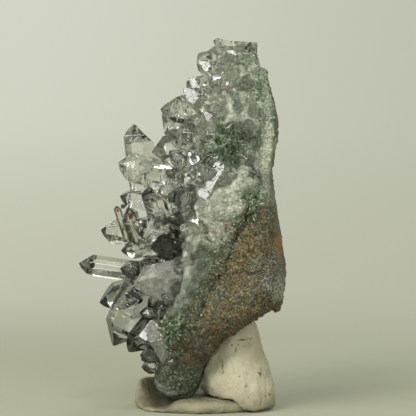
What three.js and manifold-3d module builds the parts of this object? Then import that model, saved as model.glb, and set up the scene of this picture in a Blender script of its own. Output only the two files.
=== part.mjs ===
// A harlequin quartz specimen with epidote, standing in mounting putty.
// Quartz crystals cover the left side of an upright slab of rock. The slab's back is on the right,
// and its near side is a broken face that shows rock, milky quartz and green epidote.
// Millimetres. +X is right, +Y is away from the near side, +Z is up. The origin is on the floor,
// under the middle of the whole.
import * as THREE from "three";
import { ConvexGeometry } from "three/addons/geometries/ConvexGeometry.js";
import { mergeVertices } from "three/addons/utils/BufferGeometryUtils.js";
import Module from "manifold-3d";

const wasm = await Module();
wasm.setup();

// Driving dimensions
const GAP = 0.3; // left between two pieces that touch
const PAD_FRONT = -12.5; // near edge of the putty pad
const SIGHT_SLOPE = Math.tan(THREE.MathUtils.degToRad(3.5)); // eye level looks down by this slope
const TIP_SLOPE = THREE.MathUtils.degToRad(51.8); // between a quartz tip face and the prism's end
const MINOR_FACE_SHIFT = 0.07; // every second tip face stands this share of the width further out
const SLIVER = 0.18; // detail smaller than this is tidied away
const TAU = Math.PI * 2;

// Slab of rock: height, left, right, near and far side
const ROCK_LEVELS = [
  [2.2, -1.6, 0.9, -6.5, 0.5],
  [3.6, -4.0, 2.6, -8.5, 4.0],
  [6.2, -5.2, 3.8, -10.5, 7.0],
  [9.4, -4.4, 4.6, -12.4, 10.0],
  [12.4, -0.8, 6.2, -14.0, 12.5],
  [15.6, 0.2, 9.2, -15.4, 14.4],
  [18.4, 0.8, 13.6, -16.4, 16.0],
  [20.6, 1.2, 17.6, -17.0, 17.0],
  [23.4, 1.6, 20.0, -17.2, 17.8],
  [26.6, 3.6, 20.5, -17.2, 18.2],
  [29.8, 5.6, 20.0, -17.0, 18.4],
  [33.4, 7.4, 19.7, -16.8, 18.4],
  [37.2, 10.2, 18.8, -16.6, 18.2],
  [40.8, 12.8, 18.4, -16.4, 17.8],
  [44.8, 14.6, 17.8, -16.0, 17.4],
  [48.6, 15.0, 17.6, -15.4, 16.8],
  [52.4, 15.6, 18.2, -14.4, 16.2],
  [56.4, 16.4, 18.7, -13.0, 14.8],
  [60.4, 16.2, 18.4, -11.0, 13.0],
  [64.4, 15.4, 17.5, -8.6, 10.8],
  [67.4, 14.6, 16.4, -6.2, 8.4],
];

// Massive quartz that the crystals grow from, in the same terms
const BED_LEVELS = [
  [8.6, -3.2, 1.0, -9.5, 6.5],
  [11.4, -4.6, 3.0, -12.8, 10.5],
  [15.2, -4.6, 4.0, -14.8, 14.0],
  [20.0, -3.4, 5.0, -16.4, 16.0],
  [25.6, -1.6, 8.0, -17.0, 17.2],
  [31.6, -0.6, 11.0, -17.4, 17.8],
  [37.4, 0.8, 14.0, -17.4, 17.8],
  [43.2, 1.8, 16.2, -17.2, 17.4],
  [49.0, 3.0, 16.4, -16.4, 16.8],
  [54.6, 4.0, 17.0, -14.8, 16.0],
  [60.0, 5.0, 17.0, -12.0, 13.4],
  [64.6, 6.6, 16.2, -8.8, 10.6],
  [68.0, 8.0, 14.6, -6.4, 8.0],
  [70.8, 8.8, 13.6, -3.6, 6.4],
];

// Band of granular epidote behind the quartz, under the skin of the slab's back
const EPIDOTE_LEVELS = [
  [55.4, 14.8, 17.0, -11.6, 12.6],
  [58.8, 14.4, 17.2, -11.9, 12.6],
  [62.2, 13.6, 16.8, -10.6, 11.6],
  [65.6, 12.4, 16.0, -8.4, 9.4],
  [68.4, 11.8, 15.2, -6.2, 7.4],
  [70.4, 12.2, 14.6, -4.4, 5.6],
];

const CRUST_GRAINS = 16;
const BACK_LEDGES = 7;

// Crystals that can be told apart from the near side. The heights are as seen from eye level.
const SEEN_CRYSTALS = [
  { tip: [5.1, 3.0, 72.1], root: [15.0, 3.0, 71.5], width: 4.9, roll: 0.2 }, // level one along the top
  { tip: [6.2, 6.0, 74.5], root: [10.8, 5.0, 72.6], width: 2.0 }, // small one behind it
  { tip: [9.9, -3.4, 72.8], root: [10.3, -2.6, 64.0], width: 3.4 }, // dark pointed one
  { tip: [13.3, -2.8, 74.0], root: [13.8, -1.8, 67.0], width: 3.0 }, // amber stained stub
  { tip: [3.9, 0.6, 69.6], root: [11.0, 0.2, 67.2], width: 2.8 },
  { tip: [2.6, -2.8, 66.8], root: [9.0, -2.4, 64.6], width: 3.2 }, // three steps down the left
  { tip: [0.8, 1.4, 64.4], root: [8.0, 1.0, 62.0], width: 3.2 },
  { tip: [4.2, -5.8, 65.2], root: [9.4, -4.6, 60.6], width: 2.6 }, // sparkling druse
  { tip: [6.6, -7.2, 67.4], root: [10.4, -4.8, 62.0], width: 2.4 },
  { tip: [3.6, -8.0, 62.4], root: [9.4, -6.0, 58.6], width: 2.6 },
  { tip: [-4.3, -2.0, 60.6], root: [7.0, -1.6, 58.8], width: 6.0, roll: 0.35 }, // large, black specks
  { tip: [-9.1, -4.4, 57.8], root: [-5.0, -2.6, 44.4], width: 5.4, roll: 0.1 }, // large upright one
  { tip: [-12.6, -9.2, 49.8], root: [-3.2, -5.0, 47.6], width: 5.4 }, // rounded, at the left
  { tip: [-6.0, -6.6, 52.0], root: [4.0, -4.8, 54.6], width: 4.4, roll: 0.5 }, // glinting block
  { tip: [2.1, -8.0, 58.8], root: [0.8, -7.0, 45.0], width: 5.2, roll: 0.3 }, // large grey one
  { tip: [3.8, -11.6, 58.2], root: [5.0, -9.4, 49.0], width: 3.2 },
  { tip: [-8.9, -8.4, 47.4], root: [3.0, -7.4, 44.6], width: 5.2 }, // central block
  { tip: [-12.3, -3.6, 43.4], root: [-2.0, -2.6, 41.2], width: 4.0 },
  { tip: [-6.0, -11.2, 45.4], root: [-3.2, -9.0, 36.0], width: 4.8 }, // upright, at the middle
  { tip: [-0.4, -14.2, 45.2], root: [4.2, -13.2, 36.0], width: 4.4 },
  { tip: [-12.9, -5.6, 41.4], root: [-10.4, -4.6, 33.6], width: 1.6 }, // sliver
  { tip: [-10.7, -8.6, 41.2], root: [-7.6, -6.6, 31.6], width: 3.4 }, // dark with red spots
  { tip: [-9.6, -11.0, 38.8], root: [1.0, -9.4, 34.4], width: 4.8 },
  { tip: [-16.1, -3.4, 36.6], root: [-4.0, -2.6, 35.0], width: 4.2, roll: 0.4 },
  { tip: [-12.0, -7.2, 32.2], root: [-1.0, -6.0, 34.0], width: 3.6 },
  { tip: [-12.2, -9.4, 28.8], root: [-2.0, -8.0, 28.4], width: 3.2 },
  { tip: [-20.6, -0.6, 30.0], root: [-1.0, 0.6, 27.0], width: 4.2, roll: 0.25 }, // longest, level
  { tip: [-16.4, -4.4, 22.0], root: [-4.0, -2.6, 26.0], width: 5.2 }, // broad, lower left
  { tip: [-14.3, -8.6, 13.8], root: [-6.4, -6.8, 28.6], width: 6.2, roll: 0.15 }, // down to the left
  { tip: [-9.8, -10.8, 11.8], root: [-2.4, -8.6, 21.4], width: 5.8 },
  { tip: [-9.0, -15.4, 25.2], root: [3.4, -10.2, 27.8], width: 7.2, roll: 0.5 }, // large frosted one
  { tip: [-5.6, -14.6, 18.6], root: [-0.8, -9.2, 10.2], width: 4.8 }, // milky finger
  { tip: [-8.0, -8.8, 9.2], root: [-1.0, -7.6, 9.8], width: 2.6 },
  { tip: [-8.2, -12.4, 19.8], root: [-1.0, -10.6, 20.4], width: 2.8 },
  { tip: [9.9, -17.4, 51.6], root: [5.0, -15.0, 43.0], width: 4.0 }, // bright striated faces
  { tip: [3.4, -16.0, 49.4], root: [9.4, -13.6, 47.2], width: 3.0 },
  { tip: [-2.4, -12.8, 52.0], root: [5.4, -11.0, 46.4], width: 3.2 },
];

// How far left the rest of the crystals may reach, by height, so that the outline stays as it is
const REACH_LEFT = [
  [5, -2.6],
  [9, -4.6],
  [13, -8.2],
  [18, -9.4],
  [24, -11.0],
  [30, -9.8],
  [36, -11.0],
  [40, -9.6],
  [46, -8.4],
  [50, -7.6],
  [54, -4.2],
  [57, 0.0],
  [64, 1.8],
  [69, 4.4],
  [73, 6.4],
];
const FILL_ROWS = 11;
const FILL_PITCH = 5.6; // between two of them across the slab
const FILL_SEED = 41;
const FAR_REACH = 18.9; // none stands out further at the far side

// Putty
const PAD_CENTRE = [4.5, 0];
const PAD_HALF = [14.2, 12.5];
const PAD_THICK = 2.6; // at the middle
const PAD_THIN = 1.1; // at its two ends
const LIP_RISE = 4.6; // of the edge curled up at the left
const LIP_AT = THREE.MathUtils.degToRad(160);
const LIP_SPREAD = THREE.MathUtils.degToRad(48);
const PAD_PROFILE = [ // share of the radius, share of the thickness, share of the lip's rise
  [0, 0, 0],
  [0.6, 0, 0],
  [0.94, 0, 0],
  [1.0, 0.35, 0.1],
  [0.99, 0.8, 0.6],
  [0.93, 1.0, 1.0],
  [0.84, 1.0, 0.75],
  [0.74, 1.0, 0.2],
  [0.6, 1.0, 0],
  [0.3, 1.0, 0],
  [0, 1.0, 0],
];
const PAD_SIDES = 32;
// Wedge: height, middle of the section, half its width, near and far half depth
const WEDGE_LEVELS = [
  [0.4, 12.2, 6.3, 9.6, 8.4],
  [1.8, 12.2, 6.6, 10.2, 9.0],
  [5.0, 11.0, 7.5, 9.9, 8.8],
  [8.8, 10.4, 6.9, 8.8, 8.2],
  [12.4, 10.9, 5.2, 7.4, 7.0],
  [15.4, 11.3, 4.0, 5.8, 5.6],
  [17.8, 12.2, 2.4, 3.8, 3.8],
  [19.0, 12.8, 1.0, 1.8, 1.8],
];
const WEDGE_SIDES = 22;

// Numbers between 0 and 1 that are the same on every run
function randomFrom(seed) {
  let state = seed;
  return () => {
    state = (state + 0x6d2b79f5) | 0;
    let mixed = Math.imul(state ^ (state >>> 15), 1 | state);
    mixed = (mixed + Math.imul(mixed ^ (mixed >>> 7), 61 | mixed)) ^ mixed;
    return ((mixed ^ (mixed >>> 14)) >>> 0) / 4294967296;
  };
}

// Value of one column at a height, between the two rows around it
function atHeight(rows, height, column) {
  const last = rows.length - 1;
  if (height <= rows[0][0]) return rows[0][column];
  if (height >= rows[last][0]) return rows[last][column];
  const upper = rows.findIndex((row) => row[0] > height);
  const [low, high] = [rows[upper - 1], rows[upper]];
  const share = (height - low[0]) / (high[0] - low[0]);
  return THREE.MathUtils.lerp(low[column], high[column], share);
}

// A spot given by its height as seen from eye level
function seenSpot([x, y, seenHeight]) {
  return new THREE.Vector3(x, y, seenHeight - (y - PAD_FRONT) * SIGHT_SLOPE);
}

// Geometry to closed solid and back
function toSolid(geometry) {
  const bare = geometry.clone();
  bare.deleteAttribute("normal");
  bare.deleteAttribute("uv");
  const merged = mergeVertices(bare, 1e-4);
  const vertProperties = new Float32Array(merged.attributes.position.array);
  const triVerts = new Uint32Array(merged.index.array);
  return new wasm.Manifold(new wasm.Mesh({ numProp: 3, vertProperties, triVerts }));
}

function toGeometry(solid) {
  const mesh = solid.getMesh();
  const geometry = new THREE.BufferGeometry();
  geometry.setAttribute("position", new THREE.BufferAttribute(mesh.vertProperties, 3));
  geometry.setIndex(new THREE.BufferAttribute(mesh.triVerts, 1));
  geometry.computeVertexNormals();
  return geometry;
}

// Of several bodies that a cut has left, the largest, with its slivers tidied away
function largest(solid) {
  const bodies = solid.asOriginal().simplify(SLIVER).decompose();
  return bodies.reduce((best, body) => (body.volume() > best.volume() ? body : best));
}

function fuse(solids) {
  return solids.reduce((whole, solid) => whole.add(solid));
}

// A lump with a boxy section at each level. Its skin is uneven by up to rough.
function levelSolid(levels, { sides, grow = 0, rough = 0, seed = 1, square = 0.6 }) {
  const random = randomFrom(seed);
  const rows = levels.length;
  const bumps = Array.from({ length: rows * sides }, () => (random() - 0.5) * 2 * rough);
  const geometry = new THREE.CylinderGeometry(1, 1, 1, sides, rows - 1);
  const position = geometry.attributes.position;
  for (let i = 0; i < position.count; i += 1) {
    const row = Math.round((position.getY(i) + 0.5) * (rows - 1));
    const [height, left, right, near, far] = levels[row];
    const reach = Math.hypot(position.getX(i), position.getZ(i));
    const turn = Math.atan2(position.getX(i), position.getZ(i));
    const side = (Math.round((turn / TAU) * sides) + sides) % sides;
    const bump = reach > 0.5 ? bumps[row * sides + side] : 0;
    const across = Math.cos(turn);
    const along = Math.sin(turn);
    const halfWidth = (right - left) / 2 + grow + bump;
    const halfDepth = (far - near) / 2 + grow + bump;
    const endGrow = row === 0 ? -grow : row === rows - 1 ? grow : 0;
    position.setXYZ(
      i,
      (left + right) / 2 + reach * halfWidth * Math.sign(across) * Math.abs(across) ** square,
      (near + far) / 2 + reach * halfDepth * Math.sign(along) * Math.abs(along) ** square,
      height + endGrow + (reach > 0.5 ? bump * 0.4 : 0),
    );
  }
  return toSolid(geometry);
}

// An angular block with broken corners
function chunk(centre, size, seed, grow = 0) {
  const random = randomFrom(seed);
  const turn = new THREE.Euler(random() * TAU, random() * TAU, random() * TAU);
  const corners = [];
  for (const side of [-1, 1]) {
    for (let i = 0; i < 5; i += 1) {
      const around = ((i + 0.7 * random()) / 5) * TAU;
      const reach = 0.8 + 0.35 * random();
      const corner = new THREE.Vector3(Math.cos(around), Math.sin(around), side * (0.55 + 0.35 * random()));
      corner.multiply(new THREE.Vector3(reach, reach, 1)).applyEuler(turn);
      corner.multiply(new THREE.Vector3(...size).multiplyScalar(0.5).addScalar(grow));
      corners.push(corner.add(centre));
    }
  }
  return toSolid(new ConvexGeometry(corners));
}

// Corners of the convex body inside a set of planes, each a normal and a distance from the origin
function cornersOf(planes) {
  const corners = [];
  const matrix = new THREE.Matrix3();
  for (let a = 0; a < planes.length; a += 1) {
    for (let b = a + 1; b < planes.length; b += 1) {
      for (let c = b + 1; c < planes.length; c += 1) {
        const [p, q, r] = [planes[a], planes[b], planes[c]];
        matrix.set(...p.normal, ...q.normal, ...r.normal);
        if (Math.abs(matrix.determinant()) < 1e-3) continue;
        const corner = new THREE.Vector3(p.reach, q.reach, r.reach).applyMatrix3(matrix.invert());
        const inside = planes.every((plane) => corner.dot(plane.normal) < plane.reach + 1e-6);
        const known = corners.some((other) => other.distanceTo(corner) < 0.02);
        if (inside && !known) corners.push(corner);
      }
    }
  }
  return corners;
}

// A quartz crystal: a six-sided prism with unequal sides, closed by six sloping faces
function crystal(tip, root, width, roll, seed) {
  const random = randomFrom(seed);
  const axis = tip.clone().sub(root);
  const length = axis.length();
  const apex = new THREE.Vector3((random() - 0.5) * 0.3 * width, (random() - 0.5) * 0.3 * width, length);
  const planes = [{ normal: new THREE.Vector3(0, 0, -1), reach: 0 }];
  for (let side = 0; side < 6; side += 1) {
    const around = roll * TAU / 6 + (side / 6) * TAU;
    const outward = new THREE.Vector3(Math.cos(around), Math.sin(around), 0);
    planes.push({ normal: outward, reach: (width / 2) * (0.86 + 0.26 * random()) });
    const slope = outward.clone().multiplyScalar(Math.sin(TIP_SLOPE)).setZ(Math.cos(TIP_SLOPE));
    const shift = (side % 2) * MINOR_FACE_SHIFT * width * (0.4 + 1.2 * random());
    planes.push({ normal: slope, reach: slope.dot(apex) + shift });
  }
  const geometry = new ConvexGeometry(cornersOf(planes));
  const turn = new THREE.Quaternion().setFromUnitVectors(new THREE.Vector3(0, 0, 1), axis.normalize());
  geometry.applyQuaternion(turn).translate(root.x, root.y, root.z);
  return toSolid(geometry);
}

function seenCrystals() {
  return SEEN_CRYSTALS.map(({ tip, root, width, roll = 0 }, index) =>
    crystal(seenSpot(tip), seenSpot(root), width, roll, index + 1));
}

// Crystals on the far half and between the others, pointing away from the slab
function fillCrystals() {
  const random = randomFrom(FILL_SEED);
  const crystals = [];
  for (let row = 0; row < FILL_ROWS; row += 1) {
    const level = THREE.MathUtils.lerp(10, 68, (row + 0.5) / FILL_ROWS);
    const near = atHeight(BED_LEVELS, level, 3) + 4;
    const far = atHeight(BED_LEVELS, level, 4) - 0.5;
    const columns = Math.max(2, Math.round((far - near) / FILL_PITCH));
    for (let column = 0; column < columns; column += 1) {
      const share = (column + 0.5 + 0.7 * (random() - 0.5)) / columns;
      const height = level + 3.4 * (random() - 0.5);
      const depth = THREE.MathUtils.lerp(near, far, share);
      const root = new THREE.Vector3(atHeight(BED_LEVELS, height, 1) + 2.2, depth, height);
      const outward = new THREE.Vector3(
        -1,
        (share - 0.4) * 1.2 + (random() - 0.5) * 0.7,
        (height - 30) / 45 + (random() - 0.5) * 0.8,
      ).normalize();
      const roomLeft = (root.x - atHeight(REACH_LEFT, height + 0.8, 1)) / Math.abs(outward.x);
      const roomFar = outward.y > 0.05 ? (FAR_REACH - 1 - depth) / outward.y : roomLeft;
      const wanted = 6.5 + 9.0 * random() * (0.3 + 0.7 * share);
      const length = Math.max(4.4, Math.min(roomLeft, roomFar, wanted));
      const width = Math.min(2.8 + 3.2 * random(), length * 0.62);
      const tip = root.clone().addScaledVector(outward, length);
      crystals.push(crystal(tip, root, width, random(), 100 + crystals.length));
    }
  }
  return crystals;
}

// Low ledges over a broken side between two heights
function brokenSide(levels, { count, side, from, to, size, grow = 0, seed }) {
  const random = randomFrom(seed);
  const blocks = [];
  for (let i = 0; i < count; i += 1) {
    const height = THREE.MathUtils.lerp(from, to, (i + random()) / count);
    const left = atHeight(levels, height, 1);
    const right = atHeight(levels, height, 2);
    const depth = atHeight(levels, height, side === "near" ? 3 : 4);
    const block = Math.min(size * (0.7 + 0.7 * random()), (right - left) * 0.8);
    const margin = block * 0.6;
    const across = THREE.MathUtils.lerp(left + margin, right - margin, random());
    const inward = (side === "near" ? 1 : -1) * block * 0.24;
    const centre = new THREE.Vector3(across, depth + inward, height);
    blocks.push(chunk(centre, [block, block * 0.62, block * 1.1], seed * 50 + i, grow));
  }
  return blocks;
}

// Flat ledges on the back of the slab
function backLedges(grow) {
  const random = randomFrom(61);
  const ledges = [];
  for (let i = 0; i < BACK_LEDGES; i += 1) {
    const height = THREE.MathUtils.lerp(24, 62, (i + random()) / BACK_LEDGES);
    const depth = THREE.MathUtils.lerp(-9, 11, random());
    const centre = new THREE.Vector3(atHeight(ROCK_LEVELS, height, 2) - 1.1, depth, height);
    ledges.push(chunk(centre, [2.4, 9 + 5 * random(), 7 + 4 * random()], 300 + i, grow));
  }
  return ledges;
}

function rock(grow = 0) {
  const body = levelSolid(ROCK_LEVELS, { sides: 22, grow, rough: 0.35, seed: 5 });
  const near = brokenSide(ROCK_LEVELS, { count: 7, side: "near", from: 12, to: 40, size: 4.6, grow, seed: 11 });
  const far = brokenSide(ROCK_LEVELS, { count: 9, side: "far", from: 10, to: 52, size: 5.2, grow, seed: 12 });
  const flake = chunk(new THREE.Vector3(18.9, -6, 23.4), [2.6, 7.0, 6.4], 77, grow);
  return fuse([body, flake, ...near, ...far, ...backLedges(grow)]);
}

// A tight cluster of grains about a core
function nest(centre, size, { count, grain, seed, grow = 0 }) {
  const random = randomFrom(seed);
  const parts = [chunk(centre, size.map((side) => side * 0.8), seed, grow)];
  for (let i = 0; i < count; i += 1) {
    const spot = new THREE.Vector3(random() - 0.5, random() - 0.5, random() - 0.5).normalize();
    spot.multiply(new THREE.Vector3(...size).multiplyScalar(0.38)).add(centre);
    const block = grain * (0.7 + 0.7 * random());
    parts.push(chunk(spot, [block, block, block * 1.4], seed * 40 + i, grow));
  }
  return fuse(parts);
}

const nestPlaces = {
  epidote_upper_nest: { centre: [9.6, -15.6, 53.6], size: [7.0, 3.4, 5.0], count: 9, grain: 2.0, seed: 21 },
  epidote_middle_nest: { centre: [13.9, -16.6, 41.2], size: [2.9, 2.4, 3.0], count: 5, grain: 1.4, seed: 22 },
  epidote_lower_nest: { centre: [-1.4, -15.8, 17.6], size: [3.4, 2.6, 4.2], count: 7, grain: 1.5, seed: 23 },
};

function greenNest(name, grow = 0) {
  const { centre, size, ...rest } = nestPlaces[name];
  return nest(seenSpot(centre), size, { ...rest, grow });
}

function crust(grow = 0) {
  const random = randomFrom(31);
  const parts = [levelSolid(EPIDOTE_LEVELS, { sides: 16, grow, rough: 0.3, seed: 9 })];
  for (let i = 0; i < CRUST_GRAINS; i += 1) {
    const height = 57 + 13.5 * random();
    const side = random() < 0.5 ? 3 : 4;
    const depth = atHeight(EPIDOTE_LEVELS, height, side);
    const inward = side === 3 ? 0.5 : -0.5;
    const left = atHeight(EPIDOTE_LEVELS, height, 1);
    const right = atHeight(EPIDOTE_LEVELS, height, 2);
    const centre = new THREE.Vector3(THREE.MathUtils.lerp(left, right, 0.2 + 0.6 * random()), depth + inward, height);
    const grain = 1.2 + 1.0 * random();
    parts.push(chunk(centre, [grain, grain, grain * 1.2], 900 + i, grow));
  }
  return fuse(parts);
}

// Milky blocks that stand proud of the broken near side, with a level top edge
const MILKY_BLOCKS = [
  { centre: [8.4, -16.0, 40.2], size: [11.5, 5.4, 7.0] },
  { centre: [12.0, -15.6, 45.4], size: [6.0, 5.0, 6.4] },
  { centre: [4.4, -16.2, 33.4], size: [5.4, 4.0, 8.6] },
];

function milkyBlocks(grow) {
  return MILKY_BLOCKS.map(({ centre, size }, index) => chunk(seenSpot(centre), size, 500 + index, grow));
}

function quartz(grow = 0) {
  const bed = levelSolid(BED_LEVELS, { sides: 22, grow, rough: 0.5, seed: 6 });
  const near = brokenSide(BED_LEVELS, { count: 11, side: "near", from: 12, to: 64, size: 5.0, grow, seed: 13 });
  const far = brokenSide(BED_LEVELS, { count: 10, side: "far", from: 12, to: 64, size: 5.2, grow, seed: 14 });
  return fuse([bed, ...near, ...far, ...milkyBlocks(grow), ...seenCrystals(), ...fillCrystals()]);
}

// Pad of putty with one edge curled up
function pad(grow = 0) {
  const profile = PAD_PROFILE.map(([radius, height]) => new THREE.Vector2(radius, height));
  const geometry = new THREE.LatheGeometry(profile, PAD_SIDES);
  const position = geometry.attributes.position;
  for (let i = 0; i < position.count; i += 1) {
    const [, thickShare, lipShare] = PAD_PROFILE[i % PAD_PROFILE.length];
    const across = position.getZ(i);
    const along = position.getX(i);
    const turn = Math.atan2(along, across);
    const fromLip = Math.atan2(Math.sin(turn - LIP_AT), Math.cos(turn - LIP_AT)) / LIP_SPREAD;
    const lip = LIP_RISE * Math.exp(-fromLip * fromLip);
    const waver = 1 + 0.03 * Math.sin(3 * turn + 1) + 0.02 * Math.sin(7 * turn);
    const thick = THREE.MathUtils.lerp(PAD_THICK, PAD_THIN, Math.min(1, Math.abs(across)) ** 2);
    position.setXYZ(
      i,
      PAD_CENTRE[0] + across * (PAD_HALF[0] * waver + grow),
      PAD_CENTRE[1] + along * (PAD_HALF[1] * waver + grow),
      thickShare * thick + lipShare * lip + (thickShare > 0 ? grow : -grow),
    );
  }
  return toSolid(geometry);
}

// Lump of putty under the overhang
function wedge() {
  const levels = WEDGE_LEVELS.map(([height, middle, half, near, far]) =>
    [height, middle - half, middle + half, -1 - near, -1 + far]);
  return levelSolid(levels, { sides: WEDGE_SIDES, rough: 0.05, seed: 3, square: 0.9 });
}

const padBody = pad();
const rockBody = largest(rock());
const rockRoom = rock(GAP);
const crustBody = largest(crust().subtract(rockRoom));
const nests = Object.keys(nestPlaces);
const nestBodies = nests.map((name) => largest(greenNest(name).subtract(rockRoom)));
const greenRoom = fuse([crust(GAP), ...nests.map((name) => greenNest(name, GAP))]);
const quartzBody = largest(quartz().subtract(rockRoom).subtract(greenRoom));
const specimenRoom = rockRoom.add(quartz(GAP));
const padFinal = largest(padBody.subtract(specimenRoom));
const wedgeFinal = largest(wedge().subtract(pad(GAP)).subtract(specimenRoom));

const finishes = {
  matrix_rock: { color: 0x6c6349, roughness: 0.85 },
  quartz_crystals: { color: 0xa9aa94, roughness: 0.12 },
  epidote_crust: { color: 0x87967a, roughness: 0.6 },
  epidote_upper_nest: { color: 0x3d4e38, roughness: 0.5 },
  epidote_middle_nest: { color: 0x3d4a3a, roughness: 0.5 },
  epidote_lower_nest: { color: 0x5f7360, roughness: 0.5 },
  putty_pad: { color: 0xafa886, roughness: 0.75 },
  putty_wedge: { color: 0xb0a98a, roughness: 0.75 },
};

function piece(name, solid) {
  const material = new THREE.MeshStandardMaterial({ ...finishes[name], metalness: 0, flatShading: true });
  const mesh = new THREE.Mesh(toGeometry(solid), material);
  mesh.name = name;
  return mesh;
}

const specimen = new THREE.Group();
specimen.add(
  piece("matrix_rock", rockBody),
  piece("quartz_crystals", quartzBody),
  piece("epidote_crust", crustBody),
  ...nests.map((name, index) => piece(name, nestBodies[index])),
  piece("putty_pad", padFinal),
  piece("putty_wedge", wedgeFinal),
);

export default specimen;
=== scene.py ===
# %% [markdown]
# Harlequin quartz with epidote, on its putty holder.
# The specimen is an upright slab of rock. Clear quartz crystals cover its left side, milky quartz and
# green epidote show on the broken near side, and cream putty holds its foot.
# The model's solids give every place and size. This lesson dresses them: each cell makes one thing.

# %% Load the fixed frame
import itertools
import math

import bmesh
import bpy
import numpy as np
from mathutils import Matrix, Vector


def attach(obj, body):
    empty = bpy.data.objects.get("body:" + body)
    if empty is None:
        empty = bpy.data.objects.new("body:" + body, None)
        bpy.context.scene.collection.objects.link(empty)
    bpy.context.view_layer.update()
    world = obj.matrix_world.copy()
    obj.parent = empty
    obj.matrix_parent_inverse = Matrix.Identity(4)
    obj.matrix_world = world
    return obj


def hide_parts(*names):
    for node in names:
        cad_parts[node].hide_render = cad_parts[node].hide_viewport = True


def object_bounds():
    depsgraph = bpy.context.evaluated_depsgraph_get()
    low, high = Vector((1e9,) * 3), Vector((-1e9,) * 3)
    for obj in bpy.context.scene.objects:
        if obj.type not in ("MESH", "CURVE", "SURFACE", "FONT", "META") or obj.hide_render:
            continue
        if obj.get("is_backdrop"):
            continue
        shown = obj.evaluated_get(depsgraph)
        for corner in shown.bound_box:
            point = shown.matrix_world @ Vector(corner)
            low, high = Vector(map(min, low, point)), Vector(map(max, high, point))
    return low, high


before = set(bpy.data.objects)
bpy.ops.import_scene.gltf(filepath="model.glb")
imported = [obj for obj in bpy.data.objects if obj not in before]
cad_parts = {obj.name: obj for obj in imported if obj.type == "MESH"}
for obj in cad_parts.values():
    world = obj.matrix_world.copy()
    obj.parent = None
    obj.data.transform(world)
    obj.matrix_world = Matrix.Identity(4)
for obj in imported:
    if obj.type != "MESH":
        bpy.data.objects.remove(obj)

cad_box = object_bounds()
MM = 0.001
print("solids:", ", ".join(sorted(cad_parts)))

# %% [markdown]
# Small helpers. Colours are written as people read them off a swatch, and turned to light values once.
# A pattern's scale is given by the size of one of its features in millimetres.

# %% Colours, pattern sizes and nodes
def linear(swatch):
    """An sRGB colour such as "#a5a68d" as linear red, green, blue and alpha."""
    parts = [int(swatch[i:i + 2], 16) / 255 for i in (1, 3, 5)]
    return tuple(p / 12.92 if p <= 0.04045 else ((p + 0.055) / 1.055) ** 2.4 for p in parts) + (1.0,)


def scale_for(feature):
    """The scale of a texture whose features are this many millimetres wide."""
    return 1 / (feature * MM)


def add(tree, kind, inputs=None, **settings):
    """One node. An input that is given a socket is linked, and any other value is set."""
    node = tree.nodes.new(kind)
    for name, value in settings.items():
        setattr(node, name, value)
    for name, value in (inputs or {}).items():
        if isinstance(value, bpy.types.NodeSocket):
            tree.links.new(value, node.inputs[name])
        else:
            node.inputs[name].default_value = value
    return node


def new_material(name):
    """An empty material, its tree, and the Object coordinates that its patterns read."""
    material = bpy.data.materials.new(name)
    material.use_nodes = True
    tree = material.node_tree
    tree.nodes.clear()
    place = add(tree, "ShaderNodeTexCoord").outputs["Object"]
    return material, tree, place


def finish_material(tree, shader, volume=None):
    output = add(tree, "ShaderNodeOutputMaterial", {"Surface": shader})
    if volume:
        tree.links.new(volume, output.inputs["Volume"])


def finish_skin(tree, inputs, volume=None):
    """Ends a material with one Principled shader, and with a volume if one is given."""
    finish_material(tree, add(tree, "ShaderNodeBsdfPrincipled", inputs).outputs[0], volume)


def bumps(tree, height, strength, depth):
    """A bumped normal. The depth of the bumps is in millimetres."""
    return add(tree, "ShaderNodeBump", {
        "Height": height, "Strength": strength, "Distance": depth * MM,
    }).outputs[0]


def noise(tree, place, feature, detail=3.0, rough=0.55):
    """Cloudy values about 0.5 with features this many millimetres wide."""
    texture = add(tree, "ShaderNodeTexNoise", {
        "Vector": place, "Scale": scale_for(feature), "Detail": detail, "Roughness": rough,
    })
    return texture.outputs["Fac"]


def ramp(tree, value, low, high, least=0.0, most=1.0, smooth=True):
    """The least where the value is under low, the most where it is over high."""
    return add(tree, "ShaderNodeMapRange", {
        "Value": value, "From Min": low, "From Max": high, "To Min": least, "To Max": most,
    }, interpolation_type="SMOOTHSTEP" if smooth else "LINEAR").outputs["Result"]


def calculate(tree, operation, *values):
    return add(tree, "ShaderNodeMath", dict(enumerate(values)), operation=operation).outputs[0]


def blend(tree, share, first, second):
    """A mix of two colours, each a swatch or a socket."""
    values = {0: share}
    for number, colour in ((6, first), (7, second)):
        values[number] = linear(colour) if isinstance(colour, str) else colour
    return add(tree, "ShaderNodeMix", values, data_type="RGBA").outputs[2]


def layered(tree, colour, *layers):
    """A colour with layers over it, each the share that it covers and its own colour."""
    for share, layer in layers:
        colour = blend(tree, share, colour, layer)
    return colour


def uneven(tree, place, reach, *pattern):
    """Cloudy values about 0, which go up to about half a reach either way. The pattern is as for noise."""
    return calculate(tree, "MULTIPLY", calculate(tree, "SUBTRACT", noise(tree, place, *pattern), 0.5), reach)


def patch(tree, place, centre, reach, soft=0.45, ragged=None, most=1.0):
    """The most about a spot of the piece and 0 outside it. Centre and reach are in millimetres."""
    from_centre = add(tree, "ShaderNodeVectorMath", {
        0: place, 1: tuple(c * MM for c in centre),
    }, operation="SUBTRACT").outputs[0]
    in_reach = add(tree, "ShaderNodeVectorMath", {
        0: from_centre, 1: tuple(1 / (r * MM) for r in reach),
    }, operation="MULTIPLY").outputs[0]
    far = add(tree, "ShaderNodeVectorMath", {0: in_reach}, operation="LENGTH").outputs["Value"]
    if ragged is not None:
        far = calculate(tree, "ADD", far, ragged)
    return ramp(tree, far, 1.0, 1.0 - soft, most=most)


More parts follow.
